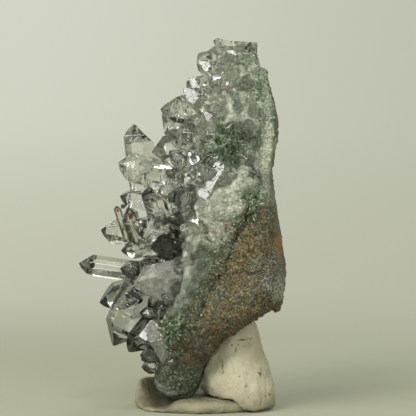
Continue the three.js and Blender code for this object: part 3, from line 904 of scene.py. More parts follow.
def veil_sheets():
    """Bent sheets across the listed crystals."""
    form = bmesh.new()
    random = random_from(VEIL_SEED)
    for tip, root, width, _, seed in CLEAR_CRYSTALS:
        top, foot = seen_spot(tip), seen_spot(root)
        axis = (top - foot).normalized()
        for _ in range(VEILS_PER_CRYSTAL):
            middle = top.lerp(foot, 0.22 + 0.35 * random())
            lean = Vector((random() - 0.5, random() - 0.5, random() - 0.5)) * 1.4
            normal = (axis + lean).normalized()
            side = normal.orthogonal().normalized()
            other = normal.cross(side)
            bend = 0.12 * (random() - 0.5)
            grid = []
            for i in range(VEIL_CELLS + 1):
                row = []
                for j in range(VEIL_CELLS + 1):
                    u, v = [(2 * n / VEIL_CELLS - 1) * width * VEIL_REACH for n in (i, j)]
                    spot = middle + side * u + other * v + normal * bend * (u * u - v * v)
                    row.append(form.verts.new(spot * MM))
                grid.append(row)
            for i in range(VEIL_CELLS):
                for j in range(VEIL_CELLS):
                    if random() > VEIL_GAPS:
                        form.faces.new((grid[i][j], grid[i + 1][j], grid[i + 1][j + 1], grid[i][j + 1]))
    return piece("veil_sheets", mesh_from(form, "veil_sheets"))


# %% [markdown]
# The massive quartz is what the crystals grow from: milky, broken on the near side in blunt blocks and
# ledges. Its body is a stack of boxy sections, as in the solids, joined with angular blocks. A voxel remesh
# makes that one even skin, and Geometry Nodes then roughen it as a fracture is rough.

# %% Broken quartz body
def level_body(name, levels, sides, rough, seed, square=0.6):
    """A lump with a boxy section at each level."""
    random = random_from(seed)
    bumps = [[(random() - 0.5) * 2 * rough for _ in range(sides)] for _ in levels]
    form = bmesh.new()
    rings = []
    for row, (height, left, right, near, far) in enumerate(levels):

        def corner(turn, side):
            bump = bumps[row][side]
            across = math.copysign(abs(math.cos(turn)) ** square, math.cos(turn))
            along = math.copysign(abs(math.sin(turn)) ** square, math.sin(turn))
            return Vector((
                (left + right) / 2 + across * ((right - left) / 2 + bump),
                (near + far) / 2 + along * ((far - near) / 2 + bump),
                height + bump * 0.4,
            )) * MM

        rings.append(ring_of(form, sides, corner))
    for lower, upper in zip(rings, rings[1:]):
        join_rings(form, lower, upper)
    form.faces.new(reversed(rings[0]))
    form.faces.new(rings[-1])
    return object_from(form, name)


def chunk(name, centre, size, seed):
    """An angular block with broken corners."""
    random = random_from(seed)
    turns = [Matrix.Rotation(random() * math.tau, 3, axis) for axis in "XYZ"]
    turn = turns[0] @ turns[1] @ turns[2]
    form = bmesh.new()
    for end in (-1, 1):
        for corner in range(BLOCK_CORNERS):
            around = (corner + 0.7 * random()) / BLOCK_CORNERS * math.tau
            reach = 0.8 + 0.35 * random()
            height = end * (0.55 + 0.35 * random())
            spot = turn @ Vector((math.cos(around) * reach, math.sin(around) * reach, height))
            form.verts.new((spot * Vector(size) / 2 + Vector(centre)) * MM)
    bmesh.ops.convex_hull(form, input=form.verts)
    bmesh.ops.recalc_face_normals(form, faces=form.faces)
    return object_from(form, name)


LEDGES_LOW, LEDGES_HIGH = 12, 64
BED_SIDES = 22
BED_ROUGH = 0.5
BED_SEED = 6
BLOCK_SEED = 500
BLOCK_CORNERS = 5
MILKY_BLOCKS = [  # middle, with its height as seen from eye level, and size
    ((8.4, -16.0, 40.2), (11.5, 5.4, 7.0)),
    ((12.0, -15.6, 45.4), (6.0, 5.0, 6.4)),
    ((4.4, -16.2, 33.4), (5.4, 4.0, 8.6)),
]


def broken_side(side, count, size, seed):
    """Low ledges over one broken side of the massive quartz."""
    random = random_from(seed)
    blocks = []
    for number in range(count):
        height = between(LEDGES_LOW, LEDGES_HIGH, (number + random()) / count)
        left = at_height(BED_LEVELS, height, 1)
        right = at_height(BED_LEVELS, height, 2)
        depth = at_height(BED_LEVELS, height, 3 if side == "near" else 4)
        block = min(size * (0.7 + 0.7 * random()), (right - left) * 0.8)
        across = between(left + block * 0.6, right - block * 0.6, random())
        inward = (1 if side == "near" else -1) * block * 0.24
        centre = (across, depth + inward, height)
        sizes = (block, block * 0.62, block * 1.1)
        blocks.append(chunk(f"{side}_ledge_{number}", centre, sizes, seed * 50 + number))
    return blocks


milky_blocks = [
    chunk(f"milky_{number}", seen_spot(centre), size, BLOCK_SEED + number)
    for number, (centre, size) in enumerate(MILKY_BLOCKS)
]
ledges = broken_side("near", 11, 5.0, 13) + broken_side("far", 10, 5.2, 14)
body = level_body("bed", BED_LEVELS, BED_SIDES, BED_ROUGH, BED_SEED)
bed_form = union("broken_quartz_form", [body] + ledges + milky_blocks)

# %% [markdown]
# One Geometry Nodes tree roughens every broken surface. It moves each point along its normal by two
# noises, one for the lumps and one for the grit. Sizes and material are named inputs, so the same tree serves
# rock, quartz and putty, and every tree here ends by making its copies real and setting their material.

# %% Roughening tree
def geometry_tree(name, sockets):
    """A Geometry Nodes tree with a mesh and named inputs, each of a kind and value, and what it is given."""
    tree = bpy.data.node_groups.new(name, "GeometryNodeTree")
    tree.interface.new_socket("Geometry", in_out="INPUT", socket_type="NodeSocketGeometry")
    for label, (kind, value) in sockets.items():
        socket = tree.interface.new_socket(label, in_out="INPUT", socket_type="NodeSocket" + kind)
        socket.default_value = value
    tree.interface.new_socket("Material", in_out="INPUT", socket_type="NodeSocketMaterial")
    tree.interface.new_socket("Geometry", in_out="OUTPUT", socket_type="NodeSocketGeometry")
    return tree, add(tree, "NodeGroupInput").outputs


def end_tree(tree, given, geometry):
    real = add(tree, "GeometryNodeRealizeInstances", {"Geometry": geometry}).outputs[0]
    finished = add(tree, "GeometryNodeSetMaterial", {"Geometry": real, "Material": given["Material"]})
    add(tree, "NodeGroupOutput", {"Geometry": finished.outputs[0]})
    return tree


def roughening_tree():
    names = ("Lump Size", "Lump Height", "Grit Size", "Grit Height", "Swell")
    tree, given = geometry_tree("roughen", {name: ("Float", 0.0) for name in names})
    place = add(tree, "GeometryNodeInputPosition").outputs[0]
    normal = add(tree, "GeometryNodeInputNormal").outputs[0]
    heights = []
    for kind in ("Lump", "Grit"):
        scale = calculate(tree, "DIVIDE", 1.0, given[kind + " Size"])
        cloud = add(tree, "ShaderNodeTexNoise", {"Vector": place, "Scale": scale, "Detail": 2.0})
        up_or_down = calculate(tree, "SUBTRACT", cloud.outputs["Fac"], 0.5)
        heights.append(calculate(tree, "MULTIPLY", up_or_down, given[kind + " Height"]))
    height = calculate(tree, "ADD", calculate(tree, "ADD", *heights), given["Swell"])
    offset = add(tree, "ShaderNodeVectorMath", {0: normal, "Scale": height}, operation="SCALE").outputs[0]
    moved = add(tree, "GeometryNodeSetPosition", {
        "Geometry": given["Geometry"], "Offset": offset,
    }).outputs[0]
    return end_tree(tree, given, moved)


ROUGHEN = roughening_tree()


def run_tree(form, tree, lengths, values):
    """The plain mesh that a tree makes of an object. Lengths are in millimetres, other values as they are."""
    modifier = form.modifiers.new(tree.name, "NODES")
    modifier.node_group = tree
    for item in tree.interface.items_tree:
        if item.in_out == "INPUT" and item.name in lengths:
            modifier[item.identifier] = lengths[item.name] * MM
        if item.in_out == "INPUT" and item.name in values:
            modifier[item.identifier] = values[item.name]
    return plain_mesh(form)


def remeshed(form, voxel):
    """The form with an even skin of small squares."""
    remesh = form.modifiers.new("even_skin", "REMESH")
    remesh.mode = "VOXEL"
    remesh.voxel_size = voxel * MM
    remesh.use_smooth_shade = True
    form.data = plain_mesh(form)
    form.data.materials.clear()
    return form


SAME_SPOT = 0.002 * MM


def solid_copy(node):
    """A merged copy of one of the solids, which stays as it is itself."""
    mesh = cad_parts[node].data.copy()
    form = bmesh.new()
    form.from_mesh(mesh)
    bmesh.ops.remove_doubles(form, verts=form.verts, dist=SAME_SPOT)
    form.to_mesh(mesh)
    form.free()
    mesh.materials.clear()
    return piece(node + "_form", mesh)


def roughened(name, form, voxel, paint, lengths):
    """A finished piece from a form: even skin, then lumps and grit."""
    mesh = run_tree(remeshed(form, voxel), ROUGHEN, lengths, {"Material": paint})
    bpy.data.objects.remove(form)
    made = piece(name, mesh)
    for polygon in made.data.polygons:
        polygon.use_smooth = True
    print(name, triangles(made), "triangles")
    return made


# %% [markdown]
# Milky quartz, broken across. Cloudy and sugary, nearly white where it is bruised, grey-green where fine
# epidote needles fill it, with red iron stains near the rock. Under the crystals its upper part is painted
# paler, partly its own tone and partly painted light in their shadow, and its faces that turn left carry
# painted light.

# %% Milky quartz
STONE_VOXEL = 0.42
CONTACT_FOOT = 18.7  # height where the contact of quartz and rock meets the middle
CONTACT_LEAN = 0.55  # how far it runs right for each millimetre up


def past_contact(tree, x, z):
    """How far right of the contact of quartz and rock a place is, along X."""
    above_foot = calculate(tree, "SUBTRACT", z, CONTACT_FOOT * MM)
    return calculate(tree, "MULTIPLY_ADD", above_foot, -CONTACT_LEAN, x)


def axes_of(tree, value):
    """The X, Y and Z of a place or a direction."""
    return add(tree, "ShaderNodeSeparateXYZ", {0: value}).outputs


def grains_of(tree, place, feature):
    """A random value for each grain of this many millimetres."""
    cells = add(tree, "ShaderNodeTexVoronoi", {"Vector": place, "Scale": scale_for(feature)})
    return add(tree, "ShaderNodeSeparateColor", {0: cells.outputs["Color"]}).outputs[0]


def salt_and_pepper(tree, place, dark, middle, light):
    """Fine mineral grains of three tones."""
    grain = noise(tree, place, 0.5, 5, 0.7)
    speck = grains_of(tree, place, 0.3)
    return layered(
        tree, dark,
        (ramp(tree, grain, 0.38, 0.62), middle),
        (ramp(tree, speck, 0.78, 0.84, most=0.5), light),
        (ramp(tree, speck, 0.2, 0.14, most=0.6), dark),
    )


GREEN_STAINS = (  # middle and reach in millimetres, and colour, of the fine epidote in the quartz
    ((10, -14, 55), (7.5, 9, 4.0), "#34452f"),
    ((13, -12, 64.5), (3.0, 9, 1.4), "#33462f"),
    ((13.6, -16, 41), (1.8, 5, 2.6), "#2b3627"),
    ((-2.0, -14, 33), (2.4, 8, 5.5), "#1c211a"),
    ((0.5, -14, 17), (3.2, 9, 4.0), "#323e2d"),
    ((5.0, -17, 26), (2.2, 6, 3.4), "#36432f"),
)
RED_STAINS = (
    ((12.2, -17, 40.0), (0.7, 5, 2.0), "#6a3022"),
    ((9.6, -17, 37.6), (2.6, 5, 0.8), "#6a3022"),
    ((6.5, -17, 36.4), (1.3, 5, 0.5), "#6a3022"),
)


def milky_quartz():
    material, tree, place = new_material("milky_quartz")
    ragged = uneven(tree, place, 1.7, 2.2, 5)
    fine = noise(tree, place, 0.4, 5, 0.7)
    cloud = ramp(tree, noise(tree, place, 1.5, 6, 0.66), 0.4, 0.62)
    speck = grains_of(tree, place, 0.4)
    axes = axes_of(tree, place)
    facing = axes_of(tree, add(tree, "ShaderNodeNewGeometry").outputs["Normal"])
    height = calculate(tree, "MULTIPLY_ADD", ragged, 6 * MM, axes["Z"])
    # upper part: partly the quartz's own paler tone, partly painted light in the shadow of the crystals over
    # it
    upper = ramp(tree, height, 40 * MM, 50 * MM)
    bruised = patch(tree, place, (9.5, -17, 39.5), (9.0, 12, 8.0), 0.4, ragged)
    pale_band = patch(tree, place, (0.5, -17, 33), (1.8, 9, 6.0), 0.5, ragged)
    sugary = ramp(tree, height, 31 * MM, 38 * MM, least=0.1, most=0.45)
    sugary = calculate(tree, "MULTIPLY", sugary, ramp(tree, fine, 0.52, 0.6))
    bright_specks = calculate(tree, "MULTIPLY", ramp(tree, speck, 0.8, 0.86, most=0.45), bruised)
    colour = layered(
        tree, blend(tree, cloud, "#2b3223", "#565b4c"),
        (upper, blend(tree, cloud, "#737c69", "#a5aa98")),
        (bruised, blend(tree, cloud, "#6c7160", "#888b79")),
        (pale_band, "#92968a"),
        (sugary, "#b9bbab"),
        (bright_specks, "#cccebf"),
        (ramp(tree, speck, 0.16, 0.12, most=0.45), "#4c5344"),
    )
    colour = stained(tree, colour, place, GREEN_STAINS, 0.6, ragged, 0.8)
    green_specks = ramp(tree, noise(tree, place, 0.7, 5), 0.57, 0.65, most=0.6)
    colour = blend(tree, green_specks, colour, "#36432f")
    grainy = calculate(tree, "SUBTRACT", fine, 0.5)
    colour = stained(tree, colour, place, RED_STAINS, 0.8, grainy, 0.6)
    # painted light: faces that turn left, under the crystals, are lightened
    left_faces_painted_light = ramp(tree, height, 24 * MM, 40 * MM, least=0.25, most=0.8)
    left_faces_painted_light = calculate(tree, "MULTIPLY", left_faces_painted_light, ramp(tree, facing["X"], -0.25, -0.6))
    near_rock = calculate(tree, "MULTIPLY_ADD", ragged, 1.6 * MM, past_contact(tree, axes["X"], axes["Z"]))
    in_rock = ramp(tree, near_rock, -0.6 * MM, 1.0 * MM)
    in_rock = calculate(tree, "MULTIPLY", in_rock, ramp(tree, axes["Z"], 42 * MM, 38 * MM))
    colour = layered(
        tree, colour,
        (left_faces_painted_light, blend(tree, cloud, "#8d9282", "#c4c7b7")),
        (in_rock, salt_and_pepper(tree, place, "#22251b", "#57573f", "#98967c")),
    )
    finish_skin(tree, {
        "Base Color": colour, "Roughness": 0.3, "IOR": QUARTZ_IOR, "Normal": bumps(tree, fine, 0.7, 0.3),
        "Subsurface Weight": 0.15, "Subsurface Radius": (1.0, 1.0, 0.8), "Subsurface Scale": 1.0 * MM,
    })
    return material


bed = roughened("milky_quartz", bed_form, STONE_VOXEL, milky_quartz(), {
    "Lump Size": 2.4, "Lump Height": 0.8, "Grit Size": 0.8, "Grit Height": 0.55, "Swell": 0.25,
})
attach(bed, "root")
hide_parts("quartz_crystals")

# %% [markdown]
# The host rock: grey and brown grains with rust along the bedding, thin red veins, a sage green upper end,
# and a weathered skin on its back. A copy of its solid is roughened, with coarse lumps where it broke and
# grit from its grains. The finest grains are only paint in three tones, about a third of a millimetre wide.

# %% Rusty rock
ROCK_STAINS = (  # middle and reach in mm, colour, and how far it covers
    ((19.3, -11, 33.4), (1.3, 12, 3.0), "#84571f", 0.95),
    ((20.7, -8, 31.8), (0.9, 14, 4.6), "#3a240f", 0.95),
    ((17.7, -12, 35.8), (1.2, 8, 1.2), "#3a1d18", 0.95),
    ((19.6, -13, 24.5), (2.5, 12, 4.0), "#95988a", 0.75),
    ((16.8, -12, 46.5), (0.8, 6, 3.0), "#742a1c", 0.8),
    ((9.5, -16, 36.5), (3.0, 5, 0.8), "#6b2a1c", 0.6),
    ((12.4, -16, 40.6), (0.8, 5, 2.6), "#6f2b1b", 0.7),
    ((16.0, -15, 40.6), (0.6, 6, 3.4), "#6b4a20", 0.55),
    ((13.4, -15, 31.8), (1.8, 5, 0.5), "#6b2a1c", 0.6),
    ((17.0, -16, 52), (2.6, 7, 8), "#abad98", 0.7),
)
PALE_FOOT_RIM = [
    (centre, (1.5, 8, 0.9), "#7b857c") for centre in ((-5.2, -8, 5.6), (-4.0, -8, 4.7), (-2.4, -8, 3.9))
]
BEDDING_TURN = 27  # degrees about Y
VEIN_TURN = -24


def drawn_out(tree, place, turn, stretch):
    """Places for a pattern that is turned about Y and then drawn out along each axis."""
    return add(tree, "ShaderNodeMapping", {
        0: place, "Rotation": (0, math.radians(turn), 0), "Scale": stretch,
    }, vector_type="TEXTURE").outputs[0]


def weathered_skin(tree, place, fine):
    cloudy = calculate(tree, "MULTIPLY_ADD", fine, 0.15, noise(tree, place, 5.0, 7, 0.62))
    return layered(
        tree, salt_and_pepper(tree, place, "#2a2a1e", "#5f5b45", "#7f7c66"),
        (ramp(tree, cloudy, 0.55, 0.7, most=0.55), "#5e431f"),
        (ramp(tree, noise(tree, place, 2.6, 6, 0.62), 0.56, 0.66, most=0.5), "#5b6650"),
    )


def rusty_rock():
    material, tree, place = new_material("iron_stained_rock")
    broad = noise(tree, place, 3.4, 5)
    fine = noise(tree, place, 0.5, 5, 0.7)
    ragged = uneven(tree, place, 2.0, 1.8, 7, 0.7)
    bedding = drawn_out(tree, place, BEDDING_TURN, (1.0, 1.0, 3.0))
    veins = drawn_out(tree, place, VEIN_TURN, (6.0, 3.0, 1.0))
    axes = axes_of(tree, place)
    facing = axes_of(tree, add(tree, "ShaderNodeNewGeometry").outputs["Normal"])
    from_contact = calculate(tree, "MULTIPLY_ADD", broad, 3 * MM, past_contact(tree, axes["X"], axes["Z"]))
    in_rust = ramp(tree, from_contact, 1.5 * MM, 6.0 * MM, most=0.07)
    streak = calculate(tree, "ADD", noise(tree, bedding, 1.6, 6, 0.65), in_rust)
    rusty = ramp(tree, streak, 0.48, 0.62, most=0.68)
    rusty = calculate(tree, "MULTIPLY", rusty, ramp(tree, axes["Z"], 42 * MM, 33 * MM))
    grey_right = patch(tree, place, (17.5, -16, 27.5), (4.2, 10, 6.5), 0.6, ragged, most=0.75)
    upper = ramp(tree, calculate(tree, "MULTIPLY_ADD", broad, 5 * MM, axes["Z"]), 43 * MM, 47 * MM)
    skin_from = ramp(tree, axes["Z"], 40 * MM, 46 * MM, least=0.52, most=0.84)
    skin = ramp(tree, calculate(tree, "SUBTRACT", facing["X"], skin_from), 0.0, 0.08, most=0.9)
    past_edge = ramp(tree, calculate(tree, "MULTIPLY_ADD", ragged, 2 * MM, axes["Y"]), -11 * MM, -5 * MM)
    past_edge = calculate(tree, "MAXIMUM", past_edge, ramp(tree, axes["Z"], 42 * MM, 46 * MM))
    colour = layered(
        tree, salt_and_pepper(tree, place, "#1f2418", "#53553f", "#908d73"),
        (rusty, salt_and_pepper(tree, place, "#33260b", "#6c5822", "#8f7c40")),
        (grey_right, salt_and_pepper(tree, place, "#2a2e22", "#65685a", "#98998a")),
        (ramp(tree, noise(tree, bedding, 0.45, 4), 0.6, 0.68, most=0.45), "#7d5719"),
        (ramp(tree, noise(tree, veins, 0.4, 3), 0.64, 0.68, most=0.6), "#5c2216"),
        (ramp(tree, noise(tree, bedding, 0.35, 3), 0.64, 0.7, most=0.35), "#979a86"),
        (ramp(tree, axes["Z"], 23 * MM, 14 * MM, most=0.5), "#2b1f0e"),
        (upper, blend(tree, ramp(tree, fine, 0.38, 0.6), "#4e5a46", "#969f8a")),
        (calculate(tree, "MULTIPLY", skin, past_edge), weathered_skin(tree, place, fine)),
    )
    grainy = ramp(tree, fine, 0.34, 0.56)
    for centre, reach, stain, most in ROCK_STAINS:
        spot = patch(tree, place, centre, reach, 0.7, ragged, most)
        colour = blend(tree, calculate(tree, "MULTIPLY", spot, grainy), colour, stain)
    foot = patch(tree, place, (0, -4, 5), (11, 16, 8), 0.4, most=0.85)
    colour = blend(tree, foot, colour, salt_and_pepper(tree, place, "#1e241a", "#4b5541", "#87917c"))
    colour = stained(tree, colour, place, PALE_FOOT_RIM, 0.6, ragged, 0.65)
    finish_skin(tree, {"Base Color": colour, "Roughness": 0.55, "Normal": bumps(tree, fine, 0.8, 0.35)})
    return material


rock_paint = rusty_rock()
rock = roughened("rusty_rock", solid_copy("matrix_rock"), STONE_VOXEL, rock_paint, {
    "Lump Size": 2.6, "Lump Height": 0.8, "Grit Size": 0.8, "Grit Height": 0.9, "Swell": 0.3,
})
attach(rock, "root")
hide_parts("matrix_rock")

# %% [markdown]
# Grains. The crust, the nests and the broken rock are masses of small stubby crystals. Geometry Nodes strew
# points over a surface and put a low pointed stub on each, turned along the surface's normal. Named inputs
# say how wide the stubs are, how many fall on a square millimetre, how much they differ and lean, between
# which levels they lie and how far left and right of the contact of quartz and rock.

# %% Grain strewing tree
def stub_mesh(name, sides, long):
    """A small pointed prism, one unit wide, that stands on the origin."""
    form = bmesh.new()
    low = level_ring(form, sides, 0.42, -0.2)
    high = level_ring(form, sides, 0.5, long * 0.7)
    join_rings(form, low, high)
    close_with_point(form, high, (0.06, 0.04, long))
    form.faces.new(reversed(low))
    return object_from(form, name)


def all_between(tree, *ranges):
    """True where each value lies between its low and its high."""
    tests = [
        add(tree, "FunctionNodeCompare", {0: value, 1: end}, operation=operation).outputs[0]
        for value, low, high in ranges
        for end, operation in ((low, "GREATER_THAN"), (high, "LESS_THAN"))
    ]
    whole = tests[0]
    for test in tests[1:]:
        whole = add(tree, "FunctionNodeBooleanMath", {0: whole, 1: test}, operation="AND").outputs[0]
    return whole


def strewing_tree():
    tree, given = geometry_tree("strew", {
        "Stub": ("Object", None), "Width": ("Float", 0.0), "Density": ("Float", 1.0), "Seed": ("Int", 0),
        "Spread": ("Float", 0.4), "Lean": ("Float", 0.7),
        "Lowest": ("Float", -1.0), "Highest": ("Float", 1.0),
        "Left of Contact": ("Float", -1.0), "Right of Contact": ("Float", 1.0),
    })
    place = axes_of(tree, add(tree, "GeometryNodeInputPosition").outputs[0])
    facing = axes_of(tree, add(tree, "GeometryNodeInputNormal").outputs[0])
    chosen = all_between(
        tree, (place["Z"], given["Lowest"], given["Highest"]),
        (past_contact(tree, place["X"], place["Z"]), given["Left of Contact"], given["Right of Contact"]),
        (facing["X"], -2.0, 0.7),  # off the slab's back
    )
    points = add(tree, "GeometryNodeDistributePointsOnFaces", {
        "Mesh": given["Geometry"], "Density": calculate(tree, "DIVIDE", given["Density"], MM * MM),
        "Seed": given["Seed"], "Selection": chosen,
    })
    aligned = add(tree, "FunctionNodeAlignRotationToVector", {
        "Vector": points.outputs["Normal"],
    }, axis="Z").outputs[0]
    less = calculate(tree, "MULTIPLY", given["Lean"], -1.0)
    limits = [
        add(tree, "ShaderNodeCombineXYZ", {"X": lean, "Y": lean, "Z": turn}).outputs[0]
        for lean, turn in ((less, -math.pi), (given["Lean"], math.pi))
    ]
    tilt = add(tree, "FunctionNodeRandomValue", {
        0: limits[0], 1: limits[1], "Seed": 1,
    }, data_type="FLOAT_VECTOR").outputs[0]
    turned = add(tree, "FunctionNodeRotateRotation", {
        "Rotation": aligned, "Rotate By": tilt,
    }, rotation_space="LOCAL").outputs[0]
    smallest = calculate(tree, "SUBTRACT", 1.0, given["Spread"])
    largest = calculate(tree, "ADD", 1.0, given["Spread"])
    size = add(tree, "FunctionNodeRandomValue", {2: smallest, 3: largest, "Seed": 2}, data_type="FLOAT")
    size = calculate(tree, "MULTIPLY", size.outputs[1], given["Width"])
    source = add(tree, "GeometryNodeObjectInfo", {"Object": given["Stub"]}).outputs["Geometry"]
    stubs = add(tree, "GeometryNodeInstanceOnPoints", {
        "Points": points.outputs["Points"], "Instance": source, "Rotation": turned, "Scale": size,
    }).outputs[0]
    return end_tree(tree, given, stubs)


STREW = strewing_tree()


def strewn(name, growths, material, cores=()):
    """One mesh: cores, and growths, each given as an object and the lengths and values of its strewing."""
    form = bmesh.new()
    for core in cores:
        form.from_mesh(core.data)
    for base, lengths, values in growths:
        grown = run_tree(base, STREW, lengths, {"Material": material, **values})
        print(name, "on", base.name, len(grown.polygons), "faces")
        form.from_mesh(grown)
        bpy.data.meshes.remove(grown)
    for core in cores:
        bpy.data.objects.remove(core)
    made = painted(piece(name, mesh_from(form, name)), material)
    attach(made, "root")
    print(name, triangles(made), "triangles")
    return made


grain_stub = stub_mesh("grain_stub", 5, 0.7)
needle_stub = stub_mesh("needle_stub", 5, 4.5)

# %% [markdown]
# Grains of the rock itself stand loose all over its broken near side, and over the margin of the quartz,
# so that the two run into each other without a line.

# %% Rock grains
rock_grains = strewn("rock_grains", [
    (rock, {"Width": 0.36, "Lowest": 8, "Highest": 47}, {
        "Stub": grain_stub, "Density": 2.6, "Spread": 0.5, "Seed": 61,
    }),
    (bed, {"Width": 0.4, "Lowest": 12, "Highest": 42, "Left of Contact": -0.5}, {
        "Stub": grain_stub, "Density": 3.0, "Seed": 62,
    }),
], rock_paint)


# %% [markdown]
# Light epidote: a sage green mass of grains under half a millimetre, with painted shade in the hollows
# between them. Its core is a roughened copy of the solid, and the same grains run out over the rock and the
# quartz beside it.

# %% Light green crust
EPIDOTE_IOR = 1.74
CRUST_VOXEL = 0.45


def light_epidote():
    material, tree, place = new_material("granular_epidote")
    grain = noise(tree, place, 0.45, 3, 0.6)
    broad = noise(tree, place, 3.0, 4)
    ragged = calculate(tree, "SUBTRACT", broad, 0.5)
    colour = layered(
        # the dark base tone between the grains is painted shade of the hollows
        tree, "#46533f",
        (ramp(tree, grain, 0.38, 0.62), "#838f78"),
        (ramp(tree, broad, 0.52, 0.66, most=0.6), "#3f5038"),
        (ramp(tree, broad, 0.48, 0.36, most=0.55), "#b3b8a5"),
        (patch(tree, place, (17.0, -12, 51), (3.0, 12, 8), 0.6, ragged, most=0.6), "#b3b5a0"),
    )
    bump = bumps(tree, grain, 0.5, 0.15)
    finish_skin(tree, {"Base Color": colour, "Roughness": 0.5, "IOR": EPIDOTE_IOR, "Normal": bump})
    return material


sage_paint = light_epidote()
crust_core = solid_copy("epidote_crust")
crust_core.data = run_tree(remeshed(crust_core, CRUST_VOXEL), ROUGHEN, {
    "Lump Size": 1.8, "Lump Height": 0.8, "Grit Size": 0.7, "Grit Height": 0.5, "Swell": 0.3,
}, {"Material": sage_paint})
sage_grains = {"Stub": grain_stub, "Density": 5.0, "Spread": 0.6, "Seed": 7}
crust = strewn("light_green_crust", [
    (crust_core, {"Width": 0.4}, sage_grains),
    (rock, {"Width": 0.4, "Lowest": 46}, sage_grains),
    (bed, {"Width": 0.36, "Lowest": 46, "Left of Contact": -12}, {**sage_grains, "Density": 1.2}),
], sage_paint, [crust_core])
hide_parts("epidote_crust")

# %% [markdown]
# Dark epidote: pistachio to blackish green needles in small sprays, glassy on their long sides.

# %% Dark green nests
NEST_VOXEL = 0.4


def dark_epidote():
    material, tree, place = new_material("epidote_needles")
    colour = layered(
        tree, "#2a3726",
        (ramp(tree, noise(tree, place, 0.6, 3), 0.4, 0.62), "#5b6c4f"),
        (ramp(tree, noise(tree, place, 1.1, 3), 0.54, 0.62, most=0.85), "#93a384"),
    )
    finish_skin(tree, {"Base Color": colour, "Roughness": 0.32, "IOR": EPIDOTE_IOR})
    return material


NESTS = ["epidote_upper_nest", "epidote_middle_nest", "epidote_lower_nest"]
green_paint = dark_epidote()
nest_cores = [remeshed(solid_copy(nest), NEST_VOXEL) for nest in NESTS]
needles = {"Stub": needle_stub, "Density": 5.0, "Spread": 0.5, "Lean": 1.25, "Seed": 17}
dust = {"Stub": grain_stub, "Density": 0.5, "Spread": 0.6, "Lean": 0.9, "Seed": 31}
sprays = {"Stub": needle_stub, "Density": 1.2, "Spread": 0.5, "Lean": 1.25, "Seed": 37}
seam = {"Stub": grain_stub, "Density": 1.2, "Spread": 0.5, "Lean": 0.9, "Seed": 27}
on_crystals = {"Width": 0.26, "Left of Contact": -15}
seam_lengths = {"Width": 0.42, "Lowest": 12, "Highest": 46, "Left of Contact": -2.0, "Right of Contact": 3.5}
nests = strewn("dark_green_nests", [
    *((core, {"Width": 0.34}, needles) for core in nest_cores),
    (rock, seam_lengths, seam),
    (bed, seam_lengths, seam),
    (clear, {**on_crystals, "Lowest": 44, "Highest": 68, "Right of Contact": 1}, dust),
    (clear, {**on_crystals, "Lowest": 50, "Highest": 56, "Right of Contact": -6}, sprays),
], green_paint, nest_cores)
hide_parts(*NESTS)

# %% [markdown]
# The same tree strews the bubbles over the veils, with a tiny eight-sided body as the bubble.

# %% Bubbles
def bubble_stub():
    form = bmesh.new()
    waist = level_ring(form, 4, 0.5, 0.0)
    close_with_point(form, waist, (0, 0, 0.5))
    close_with_point(form, waist[::-1], (0, 0, -0.5))
    return object_from(form, "bubble_stub")


bubble = bubble_stub()
sheets = veil_sheets()
haze, tree, place = new_material("bubble_haze")
finish_skin(tree, {"Base Color": linear("#eef0e6"), "Roughness": 0.3})
veils = strewn("bubble_veils", [
    (sheets, {"Width": BUBBLE}, {"Stub": bubble, "Density": 60.0, "Spread": 0.5, "Seed": 47}),
], haze)
bpy.data.objects.remove(sheets)
bpy.data.objects.remove(bubble)

# %% [markdown]
# Mounting putty: a soft cream compound, rolled in the fingers and pressed round the foot. It keeps broad
# soft facets and fine finger ridges, cracks where it was bent, and picks up specks of rock. Painted shade
# darkens it low down, along soft creases, inside its curled lip, round the foot and on the wedge's brightly
# lit lower right. The solids are remeshed, rubbed soft and roughened a little.

# %% Putty
PUTTY_VOXEL = 0.4
PUTTY_RUBS = 12
RIDGE = 0.5
WAVE_TURN = math.tau / 20  # a wave texture of scale 1 has about three bands to a unit
PUTTY_MARKS = (  # middle and reach in mm, and colour, of the cracks and then of the specks on the wedge
    ((12.3, -10, 14.3), (1.7, 14, 0.2), "#4c432e"),
    ((11.2, -10, 13.4), (1.0, 14, 0.24), "#473d2a"),
    ((10.8, -10, 12.5), (0.24, 14, 0.9), "#5f563d"),
    ((13.4, -10, 13.8), (0.2, 14, 0.7), "#5f563d"),
    ((8.2, -10, 9.2), (0.24, 14, 1.2), "#655c42"),
    ((15.5, -12, 7.6), (0.34, 14, 0.36), "#2b1d0c"),
    ((17.5, -12, 3.4), (0.36, 14, 0.3), "#3c443c"),
    ((16.6, -12, 3.2), (0.24, 14, 0.24), "#5a5640"),
    ((16.4, -10, 11.6), (0.4, 14, 0.6), "#8c6f3c"),
    ((11.4, -12, 7.2), (0.26, 14, 0.24), "#7d5a38"),
    ((12.6, -12, 5.4), (0.28, 14, 0.26), "#6f6a52"),
    ((9.2, -12, 5.9), (0.2, 14, 0.2), "#6f6a52"),
)


